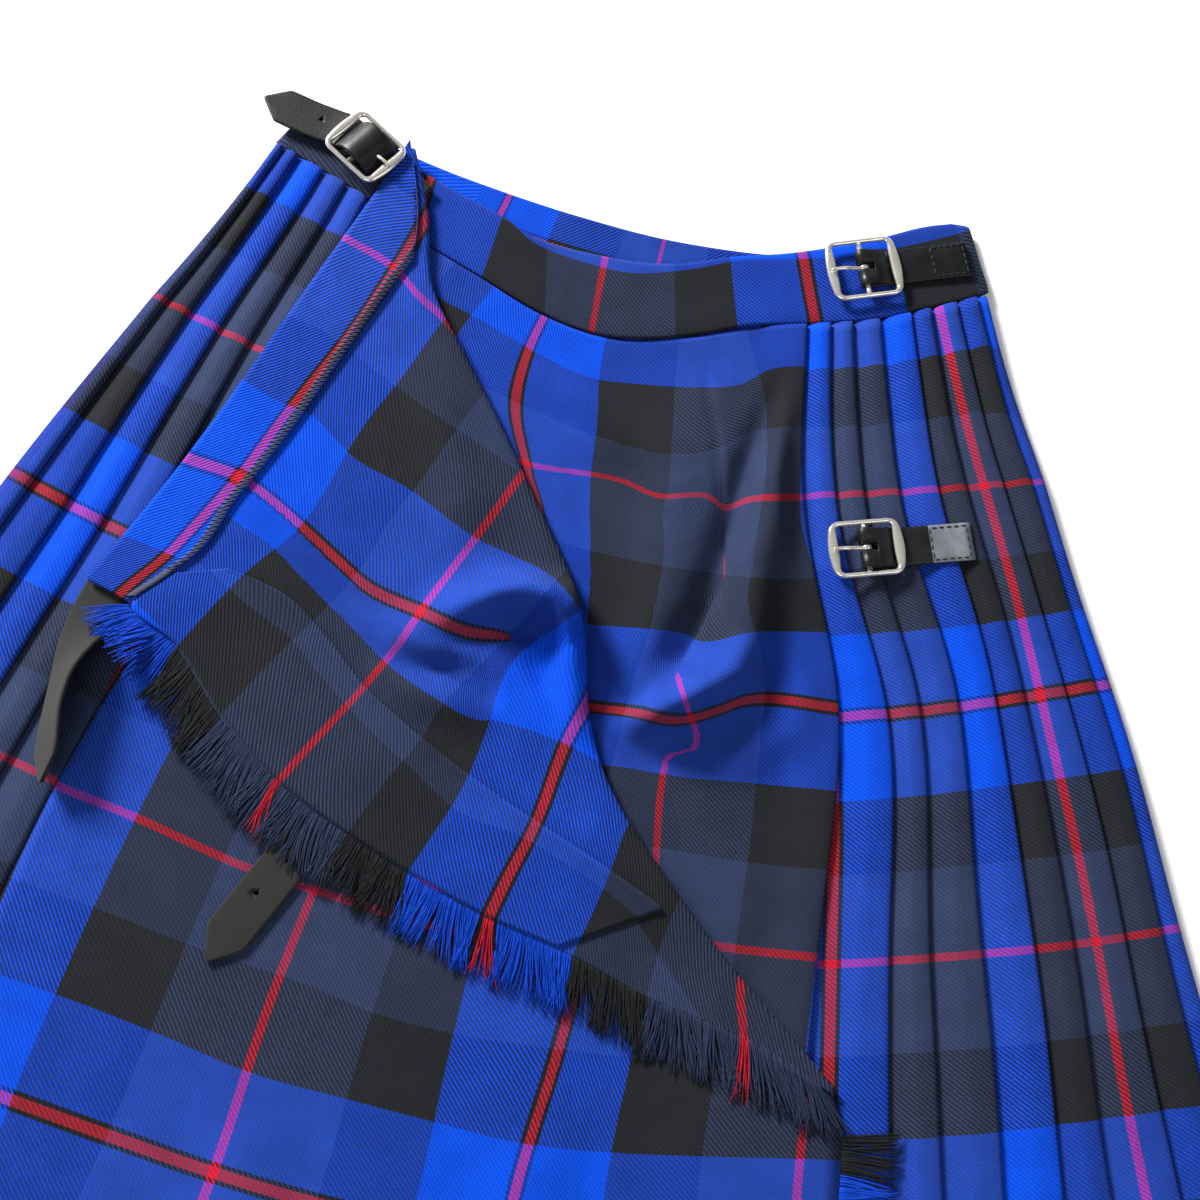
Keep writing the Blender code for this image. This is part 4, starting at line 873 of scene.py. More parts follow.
def make_under_apron():
    steps = np.concatenate((np.arange(0, 330, 3.0), np.arange(330, 615, 9.0), [SKIRT_LENGTH]))
    left, right = np.linspace(0.0, 1.0, 62), np.linspace(0.0, 1.0, 26)[1:]
    points = []
    for down in steps:
        start = ROWS.at("apron_l", down) + UNDER_START
        edge = ROWS.at("apron_r", down)
        seam = 50.0
        for _ in range(4):
            seam = dart_x(front_y(seam, down))
        columns = [start + (seam - start) * s for s in left] + [seam + (edge - 0.8 - seam) * s for s in right]
        for x in columns:
            y = front_y(x, down)
            fade = step_up(fold_side(x, y), 2.0, 26.0) * step_up(edge - x, 0.0, 14.0)
            fade *= step_up(down, 4.0, 40.0)
            crease = max(step_up(y, 44.0, 60.0), step_up(y, -30.0, -20.0) * (1.0 - step_up(y, 40.0, 50.0)))
            pucker = -1.4 * math.exp(-((x - seam) / 1.6) ** 2) * crease
            height = fade * (soft_folds(UNDER_FOLDS, x, y) + ruffle(x, y, 2, 23.0, 0.45)) + pucker * fade
            points.append((x, y, max(under_level(x, down) + height, UNDER_LOWEST)))
        for x, z in ((edge - 0.2, FRONT_FACE - 0.3), (edge, 0.5 * (FRONT_FACE + FRONT_MID)),
                     (edge - 0.2, FRONT_MID + 0.3), (edge - 0.8, FRONT_MID), (edge - PANEL_TUCK, FRONT_MID)):
            points.append((x, front_y(x, down), z))
    columns = len(left) + len(right) + 5
    cells = grid_cells(len(steps), columns)
    points = np.array(points)
    left_map = Weave(UNDER_WARP_LEFT, UNDER_WEFT).at(points)
    right_map = Weave(UNDER_WARP_RIGHT, UNDER_WEFT).at(points)
    low = np.clip((52.0 - points[:, 1]) / 22.0, 0.0, 1.0)[:, None]
    left_map = left_map + (right_map - left_map) * low
    near = np.array([math.exp(-((x - dart_x(y)) / 12.0) ** 2) for x, y in points[:, :2]])
    left_map[:, 0] -= near * np.interp(points[:, 1], TUCK.column("y"), TUCK.column("left"))
    right_map[:, 0] += near * np.interp(points[:, 1], TUCK.column("y"), TUCK.column("right"))
    is_left = (cells[:, 0] % columns) < len(left) - 1
    weave = np.where(is_left[:, None, None], left_map[cells], right_map[cells])
    return cloth_piece("under_apron_cloth", points, cells, weave, replaces=("under_apron",))


# Over-apron and its folded corner

EDGE_ROW_CORNER = 6


def waist_rise(y):
    return WAIST_RISE * step_up(y, 138.0, 158.0)


def lower_level(x, y):
    """Mid height of the over-apron where it lies flat."""
    edge = ROWS.at("apron_r", max(ROWS.at("mid_y", 0.0) - y, 0.0))
    climb = (FRONT_FACE + PLY + 0.1 - FRONT_MID) * step_up(x, edge - 62.0, edge - 34.0)
    folds = step_up(-185.0 - y, 0.0, 90.0) * soft_folds(LOWER_FOLDS, x, y) if y < -185.0 else 0.0
    return FRONT_MID + climb + waist_rise(y) + folds


def flap_edge(row):
    """Free edge of the folded corner: two smooth curves that meet at its corner."""
    part = slice(0, EDGE_ROW_CORNER + 1) if row <= EDGE_ROW_CORNER else slice(EDGE_ROW_CORNER, None)
    rows = FLAP.rows[part]
    return np.array((smooth(rows[:, 0], rows[:, 3], row), smooth(rows[:, 0], rows[:, 4], row)))


def flap_row(row):
    """Fold point, way out of the fold, free edge, roll radius and lift at a row of the folded corner."""
    fold, ahead, behind = (np.array((FLAP.at("fold_x", at), FLAP.at("fold_y", at)))
                           for at in (row, row + 0.05, row - 0.05))
    along = (ahead - behind) / np.linalg.norm(ahead - behind)
    return fold, np.array((-along[1], along[0])), flap_edge(row), FLAP.at("roll", row), FLAP.at("lift", row)


def flap_point(row, share):
    """Mid-wall point of the folded corner: share 0 at its fold line, 1 at its free edge."""
    fold, out, edge, roll, lift = flap_row(row)
    start = fold - out * roll
    x, y = start + (edge - start) * share
    level = max(FLAP_LEVEL + waist_rise(y), lower_level(x, y) + PLY + 0.1)
    away = np.linalg.norm(edge - start) * min(share, 1.0 - share)
    wave = ruffle(x, y, 3, 19.0, 0.4) * step_up(away, 0.0, 25.0)
    folds = max(soft_folds(FLAP_FOLDS, x, y) + wave, FLAP_LOWEST - 0.5 * PLY + lower_level(x, y) - level)
    return np.array((x, y, level + lift * share ** 2 + folds))


def apron_start(down):
    """Point of the over-apron's left edge at a row."""
    if down < 0.0:
        x = ROWS.at("apron_l", down) + 3.0
        return (x, SEAM.at("y", x) - down, FRONT_MID + WAIST_RISE)
    x = ROWS.at("apron_l", down)
    y = front_y(x, down)
    return (x + 0.7, y, FRONT_MID + waist_rise(y))


def thread_through(point):
    """How far down from the waist seam the row through a plan point starts."""
    low, high = -40.0, SKIRT_LENGTH
    for _ in range(26):
        down = 0.5 * (low + high)
        if front_y(point[0], down) > point[1]:
            low = down
        else:
            high = down
    return 0.5 * (low + high)


def apron_row_lower(down, end, shares):
    """Row of the over-apron from its left edge to a plan point."""
    start = apron_start(down)
    row = [start]
    first = np.array(start[:2])
    end_down = thread_through(end)
    for share in shares[1:]:
        x, y = first + (end - first) * share
        if down >= 0.0 and end_down > 0.0:
            y = front_y(x, down + (end_down - down) * share)
            y += (1.0 - share) * (first[1] - front_y(first[0], down))
        row.append((x, y, lower_level(x, y)))
    return row


def make_over_apron():
    lower = np.linspace(0.0, 1.0, 56)
    upper = np.concatenate((np.linspace(0.0, 0.12, 7)[:-1], np.linspace(0.12, 1.0, 54)))
    angles = (-70.0, -45.0, -20.0, 0.0, 20.0, 45.0, 70.0)
    rows = []
    for number in np.arange(0.0, 17.01, 0.11):
        fold, out, _, roll, _ = flap_row(number)
        row = apron_row_lower(FLAP.at("down", number), fold - out * roll, lower)
        low, high = row[-1][2], flap_point(number, 0.0)[2]
        for angle in angles:
            turn = math.radians(angle)
            x, y = fold - out * roll * (1.0 - math.cos(turn))
            row.append((x, y, 0.5 * (low + high) + 0.5 * (high - low) * math.sin(turn)))
        row += [tuple(flap_point(number, share)) for share in upper]
        rows.append(row)
    folded, full = len(rows), len(rows[0])
    for down in np.arange(352.0, SKIRT_LENGTH + 0.1, 6.7):
        end = np.array((APRON_EDGE.at("x", down), APRON_EDGE.at("y", down)))
        row = apron_row_lower(down, end, lower)
        rows.append(row + [row[-1]] * (full - len(lower)))
    points = np.array([p for row in rows for p in row])
    cells = grid_cells(len(rows), full)
    keep = (cells[:, 0] // full < folded - 1) | (cells[:, 0] % full < len(lower) - 1)
    cells = cells[keep]
    lower_map = Weave(LOWER_WARP, LOWER_WEFT).at(points)
    upper_map = Weave(FLAP_WARP, FLAP_WEFT).at(points)
    is_lower = (cells[:, 0] % full) < len(lower) + len(angles) // 2
    weave = np.where(is_lower[:, None, None], lower_map[cells], upper_map[cells])
    # Past the arch the red line lies inside the crease, so each cell there stays on one side of it
    weft, middle = weave[:, :, 1], weave[:, :, 1].mean(axis=1)
    creased = ~is_lower & (points[cells, 0].mean(axis=1) > CREASE_HIDES_RED)
    above, below = creased & (middle < RED_WEFT), creased & (middle >= RED_WEFT)
    weft[above] = np.minimum(weft[above], RED_WEFT - RED_REACH)
    weft[below] = np.maximum(weft[below], RED_WEFT + RED_REACH)
    return cloth_piece("over_apron_cloth", points, cells, weave, replaces=("over_apron",))


def facing(name, rows, insets, reaches, columns, weft, node):
    points = []
    for row, inset, reach in zip(rows, insets, reaches):
        length = np.linalg.norm((flap_point(row, 1.0) - flap_point(row, 0.0))[:2])
        for share in np.linspace(0.0, 1.0, columns):
            away = min(inset + (reach - inset) * share, 0.9 * length)
            lift = 1.15 + 0.5 * math.exp(-((1.0 - share) / 0.08) ** 2)
            points.append(flap_point(row, 1.0 - away / length) + np.array((0.0, 0.0, lift)))
    points = np.array(points)
    cells = grid_cells(len(rows), columns)
    weave = Weave(FLAP_WARP, weft).at(points)[cells]
    return cloth_piece(name, points, cells, weave, "facing_cloth", TARTAN_TURNED, replaces=(node,))


def make_facings():
    rows = np.linspace(0.25, 6.92, 98)
    waist = facing("waist_facing_cloth", rows, [0.6] * len(rows),
                   [WAIST_FACING.at("reach", r) for r in rows], 16, FACING_WEFT, "flap_waist_facing")
    rows = np.linspace(6.1, 13.8, 130)
    edge = facing("edge_facing_cloth", rows, [EDGE_FACING.at("inset", r) for r in rows],
                  [EDGE_FACING.at("reach", r) for r in rows], 26, EDGE_WEFT, "flap_edge_facing")
    return waist, edge


# Waistband

def make_waistband():
    stations = []

    def add(seam_x, seam_y, top_x, top_y, z, warp):
        stations.append(((seam_x, seam_y, z), (top_x, top_y, z), warp))

    def add_side(steps, side, before, after, warp, warp_step):
        """Turn round a side of the skirt, from one run of the band to the next."""
        for number, (share, lift, z) in enumerate(steps):
            base = before if number < 2 else after
            low_y = (SEAM.at("y", base[0]) if z > 3.6 else plan_y(base[0], 0.0)) + BAND_GAP
            add(base[0] + (side[0] - base[0]) * share, low_y + (side[1] - low_y) * lift,
                base[1] + (side[2] - base[1]) * share, base[2] + (side[3] - base[2]) * lift, z,
                warp + warp_step * share)

    def spread(table, count):
        rows = table.rows
        for t in np.linspace(0, len(rows) - 1, count):
            yield [smooth(np.arange(len(rows)), rows[:, k], t) for k in range(4)]

    front_x, front_u = zip(*BAND_WARP_FRONT)
    inner_x, inner_u = zip(*BAND_WARP_INNER)
    for seam_x, top_x, top_y, z in spread(BAND_FRONT, 90):
        add(seam_x, SEAM.at("y", seam_x) + BAND_GAP, top_x, top_y, z, np.interp(seam_x, front_x, front_u))
    add_side(((0.35, 0.3, 5.2), (0.85, 0.75, 4.4), (1.0, 1.0, 3.6), (0.8, 0.8, 2.4), (0.3, 0.3, 1.2)),
             (ROWS.at("side_r", 0.0), 184.5, ROWS.at("side_r", -38), 216.5),
             BAND_FRONT.rows[-1], BAND_BACK.rows[0], 292.0, 4.0)
    for seam_x, top_x, top_y, z in spread(BAND_BACK, 80):
        add(seam_x, plan_y(seam_x, 0.0) + BAND_GAP, top_x, top_y, z, np.interp(seam_x, inner_x, inner_u))
    add_side(((0.3, 0.3, 1.2), (0.8, 0.8, 2.2), (1.0, 1.0, 3.4), (0.85, 0.75, 4.2), (0.35, 0.3, 4.7)),
             (ROWS.at("side_l", 0.0), 190.8, ROWS.at("side_l", -38) - 0.5, 214.5),
             BAND_BACK.rows[-1], BAND_LEFT.rows[0], 86.0, 0.0)
    for seam_x, top_x, top_y, z in spread(BAND_LEFT, 24):
        add(seam_x, SEAM.at("y", seam_x) + BAND_GAP, top_x, top_y, z, 90.0 + 0.4 * (seam_x + 161.0))
    shares = (0.0, 0.03, 0.08, 0.18, 0.32, 0.48, 0.64, 0.8, 0.9, 0.96, 1.0)
    puff = (-0.25, 0.0, 0.15, 0.2, 0.0, -0.1, 0.0, 0.15, 0.2, 0.0, -0.25)
    points, weave = [], []
    for low, high, warp in stations:
        low, high = np.array(low), np.array(high)
        on_front = low[2] > 3.5
        width = np.linalg.norm(high - low)
        for share, rise in zip(shares, puff):
            p = low + (high - low) * share
            ripple = 0.25 * math.sin(0.11 * p[0] + 2.0 * share)
            height = rise + ripple if on_front else -0.4 * rise + 0.3 * ripple
            points.append(p + np.array((0.0, 0.0, height)))
            weave.append((warp, 72.0 - share * width if on_front else 239.5 - (1.0 - share) * width))
    cells = grid_cells(len(stations), len(shares))
    weave = np.array(weave)
    return cloth_piece("waistband_cloth", points, cells, weave[cells], "band_cloth", wall=BAND_WALL,
                       replaces=("waistband",))


# Fringe

def unit(x, y):
    length = math.hypot(x, y)
    return np.array((x / length, y / length, 0.0))


def strands(name, roots, slot, node):
    """Loose yarns as tapered tubes. Each root has a start, a list of further points, a width and a thread."""
    sides = 4
    points, faces, uv = [], [], []
    for path, width, thread in roots:
        path = [np.array(p, dtype=float) for p in path]
        first = len(points)
        walked = 0.0
        for i, p in enumerate(path):
            ahead, behind = path[min(i + 1, len(path) - 1)], path[max(i - 1, 0)]
            along = (ahead - behind) / np.linalg.norm(ahead - behind)
            side = np.cross(along, (0.0, 0.0, 1.0))
            side /= max(np.linalg.norm(side), 1e-6)
            up = np.cross(side, along)
            walked += np.linalg.norm(p - path[i - 1]) if i else 0.0
            share = i / (len(path) - 1)
            radius = 0.5 * width * (1.0 - 0.55 * share ** 3)
            for k in range(sides):
                turn = 2.0 * math.pi * (k + 0.5) / sides
                points.append(p + side * radius * math.cos(turn) + up * radius * 0.8 * math.sin(turn))
                uv.append((thread, walked))
        faces += tube_faces(len(path), sides, first)
    obj = mesh_piece(name, place(points), faces, YARN, slot, replaces=(node,))
    loops = np.array([v for polygon in obj.data.polygons for v in polygon.vertices])
    add_weave(obj, np.array(uv)[loops])
    return obj


FRINGE_START = 7.02
# Direction in which the locks point, along the folded edge
AWAY = Table("x away_x away_y", [
    (-172, -20, -4), (-160, -16, -13), (-150, -11, -19), (-125, -8, -22), (-95, -8, -23), (-65, -6, -24),
    (-34, -3, -24), (0, 0, -24), (40, 3, -24), (90, 5, -24), (120, 8, -24), (145, 14, -20),
])


def edge_run(point_at, first, last, count):
    """Points evenly spread by length along a curve, as its parameters."""
    fine = np.linspace(first, last, 700)
    places = np.array([point_at(t)[:2] for t in fine])
    lengths = np.concatenate(([0.0], np.cumsum(np.linalg.norm(np.diff(places, axis=0), axis=1))))
    return np.interp(np.linspace(0.0, lengths[-1], count), lengths, fine)


def make_flap_fringe():
    rng = random.Random(11)
    weave = Weave(FLAP_WARP, EDGE_WEFT)
    roots = []
    layers = ((640, 0.0, 0.72), (520, -0.4, 0.8))
    for count, depth, width in layers:
        for t in edge_run(lambda row: flap_point(row, 1.0), FRINGE_START, 17.0, count):
            base = flap_point(t, 1.0)
            thread = float(weave.at([base])[0, 0])
            away = unit(AWAY.at("away_x", base[0]), AWAY.at("away_y", base[0]))
            side = np.array((-away[1], away[0], 0.0))
            lock = math.sin(base[0] / 3.1 + 1.3 * math.sin(base[0] / 7.7))
            lean = 0.2 * lock + rng.gauss(0.0, 0.09)
            reach = 24.0 + 1.8 * lock + rng.uniform(-3.2, 1.8)
            if base[0] < -150:
                reach *= 0.72 + 0.28 * step_up(base[0], -176.0, -150.0)
            height = base[2] + depth + rng.uniform(-0.1, 0.25)
            start = base - away * 1.5
            start[2] = height
            path = [start]
            bend = rng.uniform(-1.5, 1.5)
            for share in (0.12, 0.3, 0.5, 0.7, 0.86, 1.0):
                p = base + away * reach * share + side * (lean * reach * share ** 1.4
                                                          + bend * math.sin(math.pi * share * 1.3) * share)
                ground = drop_level(p)
                sag = height + (ground + depth + 0.3 - height) * step_up(share, 0.0, 0.8)
                p[2] = sag + 0.35 * math.sin(5.0 * share + 7.0 * lock) * share
                path.append(p)
            roots.append((path, width * rng.uniform(0.75, 1.15), thread + rng.uniform(-0.5, 0.5)))
    return strands("flap_fringe_yarns", roots, "fringe_yarn", "flap_fringe")


def drop_level(point):
    """Height at which the folded corner's fringe comes to rest."""
    if point[0] < -162.0:
        return 14.4
    return FLAP_LEVEL - 0.2 if point[0] < -55 else max(lower_level(point[0], point[1]) + PLY + 0.2, 8.0)


def hem_root(t):
    """Point of the over-apron's lower right edge, and how far down it is."""
    down = 355.0 + (SKIRT_LENGTH - 356.0) * t
    x, y = APRON_EDGE.at("x", down), APRON_EDGE.at("y", down)
    return np.array((x, y, lower_level(x, y))), down


def make_hem_fringe():
    rng = random.Random(12)
    roots = []
    for count, depth, width in ((430, 0.0, 0.8), (340, -0.4, 0.85)):
        for k in range(count):
            t = (k + rng.random()) / count
            base, down = hem_root(t)
            ahead, behind = hem_root(min(t + 0.02, 1.0))[0], hem_root(max(t - 0.02, 0.0))[0]
            along = ahead - behind
            away = unit(-along[1], along[0])
            side = np.array((-away[1], away[0], 0.0))
            lock = math.sin(base[1] / 3.2 + 1.3 * math.sin(base[1] / 7.1))
            lean = 0.16 * lock + rng.uniform(-0.1, 0.1)
            reach = LOCK_LENGTH + 1.2 * lock + rng.uniform(-1.8, 1.0)
            height = base[2] + depth
            path = [base - away * 1.5 + np.array((0, 0, depth))]
            for share in (0.15, 0.35, 0.6, 0.8, 1.0):
                p = base + away * reach * share + side * lean * reach * share ** 1.4
                p[2] = height + (FRONT_FACE + PLY + 0.2 + depth - height) * step_up(share, 0.0, 0.9)
                path.append(p)
            roots.append((path, width * rng.uniform(0.75, 1.15), down_thread(down)))
    return strands("hem_fringe_yarns", roots, "fringe_yarn", "hem_fringe")


# Leather and metal

STRAP_WIDTH = 19.0
LEATHER = 1.8
TAB_THICK = 1.6
TAB_WIDTH = 17.8
HIP_STITCHES = 30.0
WIRE = 1.5
BAR_RADIUS = 1.2
PRONG_RADIUS = 0.8
FRAME_RISE = 0.3
# Prong's eye as radius and side offset, and the slot for it in the tab: its size and its place along the tab
EYE_PROFILE = ((1.55, -0.8), (1.75, -1.1), (2.15, -1.1), (2.4, -0.8), (2.4, 0.8), (2.15, 1.1), (1.75, 1.1),
               (1.55, 0.8))
PRONG_SLOT = (8.6, 3.2, 16.0)
PRONG_SLOT_AT = 0.3
# Cross-sections of strap and tab, as shares of width and thickness
STRAP_PROFILE = (
    (-0.5, 0.0), (-0.49, 0.32), (-0.465, 0.46), (-0.43, 0.5), (-0.25, 0.5), (0.0, 0.5), (0.25, 0.5),
    (0.43, 0.5), (0.465, 0.46), (0.49, 0.32), (0.5, 0.0), (0.49, -0.32), (0.465, -0.46), (0.43, -0.5),
    (0.0, -0.5), (-0.43, -0.5), (-0.465, -0.46), (-0.49, -0.32),
)
TAB_PROFILE = (
    (-0.5, 0.0), (-0.49, 0.35), (-0.46, 0.5), (-0.25, 0.52), (0.0, 0.53), (0.25, 0.52), (0.46, 0.5),
    (0.49, 0.35), (0.5, 0.0), (0.49, -0.35), (0.46, -0.5), (0.0, -0.5), (-0.46, -0.5), (-0.49, -0.35),
)
# Narrowing of a strap's point: share of its length, and share of the width there
POINT_SHAPE = ((0.3, 0.985), (0.36, 0.93), (0.5, 0.75), (0.65, 0.55), (0.8, 0.34), (0.93, 0.16), (1.0, 0.05))
BUCKLES = {
    "left_waist": {"x": -125.0, "y": 191.5, "bed": 6.8, "turn": 146.0, "along": 31.0, "across": 26.5,
                   "tab": 22.0, "bar": 6.6},
    "right_waist": {"x": 113.3, "y": 180.3, "bed": 7.1, "turn": 19.5, "along": 32.0, "across": 30.6,
                    "tab": 51.5, "bar": 3.3},
    "right_hip": {"x": 131.5, "y": 44.8, "bed": 8.1, "turn": 16.0, "along": 30.8, "across": 26.2,
                  "tab": 48.5, "bar": 3.3},
}
PRONG_BODIES = {"left_waist": BODY, "right_waist": "right_waist_prong", "right_hip": "right_hip_prong"}
SLIT_LEVEL = 0.5 * (FRONT_MID + FLAP_LEVEL) + WAIST_RISE
STRAP_BED = FRONT_MID + 0.5 * CLOTH + SEAM_GAP


def smooth_path(path, steps):
    """Points on a smooth curve through the given ones."""
    path = np.array(path, dtype=float)
    keys = np.concatenate(([0.0], np.cumsum(np.maximum(np.linalg.norm(np.diff(path[:, :3], axis=0), axis=1),
                                                       0.01))))
    result = []
    for i in range(len(path) - 1):
        for s in range(steps):
            t = keys[i] + (keys[i + 1] - keys[i]) * s / steps
            result.append([smooth(keys, path[:, k], t) for k in range(path.shape[1])])
    result.append(list(path[-1]))
    return np.array(result)


def strap_mesh(rows, thickness):
    """Rounded strap from rows of centre, side direction, up direction and width."""
    points = []
    for centre, side, up, width in rows:
        for a, b in STRAP_PROFILE:
            points.append(centre + side * width * a + up * thickness * b)
    return points, tube_faces(len(rows), len(STRAP_PROFILE))


def strap_rows(spine, width, point_length, steps):
    """Rows of a strap along a spine of points and rolls, narrowed to a point at its end."""
    path = smooth_path(spine, steps)
    rows = []
    for i, p in enumerate(path):
        along = path[min(i + 1, len(path) - 1)][:3] - path[max(i - 1, 0)][:3]
        along /= np.linalg.norm(along)
        flat = np.array((-along[1], along[0], 0.0))
        flat /= np.linalg.norm(flat)
        up = np.cross(along, flat)
        roll = math.radians(p[3])
        side = flat * math.cos(roll) + up * math.sin(roll)
        rows.append((p[:3], side, np.cross(along, side), width))
    end, side, up, _ = rows[-1]
    along = np.cross(side, up)
    for share, narrow in POINT_SHAPE:
        rows.append((end + along * point_length * share, side, up, width * narrow))
    return rows


def cut_away(obj, bm):
    """Cuts a closed cutter out of a piece."""
    cutter_mesh = bpy.data.meshes.new("cutter")
    bm.to_mesh(cutter_mesh)
    bm.free()
    cutter = bpy.data.objects.new("cutter", cutter_mesh)
    bpy.context.scene.collection.objects.link(cutter)
    modifier = obj.modifiers.new("cut", "BOOLEAN")
    modifier.object = cutter
    modifier.operation = "DIFFERENCE"
    modifier.solver = "EXACT"
    evaluated = obj.evaluated_get(bpy.context.evaluated_depsgraph_get())
    obj.data = bpy.data.meshes.new_from_object(evaluated)
    obj.modifiers.clear()
    bpy.data.objects.remove(cutter, do_unlink=True)


def punch_holes(obj, centres, radius=1.2):
    """Punched strap holes, given as plan points."""
    for x, y in centres:
        bm = bmesh.new()
        bmesh.ops.create_cone(bm, cap_ends=True, segments=20, radius1=radius * MM, radius2=radius * MM,
                              depth=0.06)
        bmesh.ops.translate(bm, vec=place((x, y, 10.0)), verts=bm.verts)
        cut_away(obj, bm)


def make_strap(name, spine, finish, node, width=STRAP_WIDTH, point_length=17.0, steps=6):
    points, faces = strap_mesh(strap_rows(spine, width, point_length, steps), LEATHER)
    return mesh_piece(name, place(points), faces, finish, "strap_leather", replaces=(node,))


def make_straps():
    ground = FRONT_FACE + 0.5 * CLOTH + SEAM_GAP
    spine = []
    for x, y, roll in ((-176, -16, 0), (-183, -33, 0), (-185.6, -43, 2), (-187.2, -53, 10), (-188.6, -62, 28),
                       (-189.6, -73, 46), (-189.4, -88, 52), (-187.6, -103, 47)):
        turn = math.radians(roll)
        rise = 0.5 * STRAP_WIDTH * math.sin(turn) + 0.5 * LEATHER * math.cos(turn)
        spine.append((x, y, ground + rise, roll))
    make_strap("loose_waist_strap", spine, SUEDE, "apron_waist_strap")
    bed = STRAP_BED + 0.5 * LEATHER
    spine = [(-70, -104, bed, 0), (-81, -126, bed, 0), (-88, -140, bed, 0), (-98, -160, bed, 0)]
    strap = make_strap("loose_hip_strap", spine, SUEDE, "apron_hip_strap")
    punch_holes(strap, ((-83, -131.5), (-92.5, -146)))
    spec = BUCKLES["left_waist"]
    flat = SLIT_LEVEL - spec["bed"]
    spine = ((-35.0, -0.5, flat), (-27.0, -0.4, flat), (-19.0, -0.2, flat), (-12.1, 0.0, flat + 0.1),
             (-10.3, 0.0, 3.5), (-8.2, 0.0, 7.5), (-5.4, 0.0, 10.2), (-1.6, 0.0, 11.3),
             (2.4, 0.0, 11.2), (6.2, 0.0, 9.5), (9.0, 0.0, 6.6), (11.4, 0.0, 4.2),
             (14.2, 0.2, 3.6), (20.0, 2.2, 3.1), (29.5, 6.3, 3.1), (40.1, 10.2, 3.4))
    spine = [(*buckle_point(spec, *point), 0.0) for point in spine]
    strap = make_strap("fastened_strap", spine, BLACK_LEATHER, "waist_strap_fastened", 18.5, 14.0, 5)
    punch_holes(strap, ((-149.1, 203.2),), 1.0)


def buckle_matrix(spec):
    """Place of a buckle: x along its strap, y along its bar, z up."""
    turn = Matrix.Rotation(math.radians(spec["turn"]), 4, "Z")
    return Matrix.Translation(Vector(place((spec["x"], spec["y"], spec["bed"])))) @ turn


def buckle_piece(name, points, faces, spec, finish, slot, node, body=BODY):
    """Piece given in a buckle's own millimetres."""
    matrix = buckle_matrix(spec)
    points = [matrix @ (Vector(p) * MM) for p in points]
    return mesh_piece(name, points, faces, finish, slot, body=body, replaces=(node,))


def ring_mesh(path, profile, closed=True):
    """Sweeps a profile of outward and upward offsets round a level path."""
    points, faces = [], []
    count, n = len(path), len(profile[0])
    for i, p in enumerate(path):
        ahead = np.array(path[(i + 1) % count] if closed else path[min(i + 1, count - 1)])
        behind = np.array(path[(i - 1) % count] if closed else path[max(i - 1, 0)])
        along = (ahead - behind) / np.linalg.norm(ahead - behind)
        out = np.array((along[1], -along[0], 0.0))
        out /= max(np.linalg.norm(out), 1e-6)
        up = np.cross(out, along)
        for a, b in profile[i]:
            points.append(np.array(p) + out * a + up * b)
    for i in range(count if closed else count - 1):
        for k in range(n):
            a, b = i * n + k, i * n + (k + 1) % n
            j = (i + 1) % count
            faces.append((a, b, j * n + (k + 1) % n, j * n + k))
    if not closed:
        faces.append(tuple(range(n)))
        faces.append(tuple(range((count - 1) * n, count * n))[::-1])
    return points, faces


def rounded_oblong(half_x, half_y, radius):
    """Points round an oblong with rounded corners."""
    points = []
    for quarter, (sx, sy) in enumerate(((1, 1), (-1, 1), (-1, -1), (1, -1))):
        for k in range(9):
            turn = math.radians(90 * quarter + 10 * k + 5)
            points.append((sx * (half_x - radius) + radius * math.cos(turn),
                           sy * (half_y - radius) + radius * math.sin(turn)))
        ax, ay = points[-1]
        nx, ny = ((-1, 1), (-1, -1), (1, -1), (1, 1))[quarter]
        bx = nx * (half_x - radius) + radius * math.cos(math.radians(90 * quarter + 95))
        by = ny * (half_y - radius) + radius * math.sin(math.radians(90 * quarter + 95))
        for share in np.linspace(0.0, 1.0, 16)[1:-1]:
            points.append((ax + (bx - ax) * share, ay + (by - ay) * share))
    return points


def oval(wide, high, count=14, shift=0.0):
    """Points round an oval, moved outward by a shift."""
    return [(shift + wide * math.cos(2 * math.pi * k / count), high * math.sin(2 * math.pi * k / count))
            for k in range(count)]


def make_frame(name, spec):
    """Buckle frame with flattened rims, broadest in the middle of its ends, and its centre bar."""
    level = spec["bar"] + FRAME_RISE
    half_x, half_y = 0.5 * spec["along"] - WIRE, 0.5 * spec["across"] - WIRE
    path, profile = [], []
    for x, y in rounded_oblong(half_x, half_y, 3.2):
        bulge = max(1.0 - (y / half_y) ** 2, 0.0) if abs(x) > 0.82 * half_x else 0.0
        path.append((x, y, level))
        profile.append(oval(1.15 + 1.25 * bulge, 1.2, 16, 0.25 + 0.55 * bulge))
    points, faces = ring_mesh(path, profile)
    bar_path = [(0.0, half_y * t, spec["bar"]) for t in np.linspace(-1, 1, 9)]
    bar_points, bar_faces = ring_mesh(bar_path, [oval(BAR_RADIUS, BAR_RADIUS, 14)] * 9, closed=False)
    shift = len(points)
    faces += [tuple(i + shift for i in face) for face in bar_faces]
    buckle_piece(name + "_buckle", points + bar_points, faces, spec, NICKEL, "buckle_metal",
                 name + "_frame")


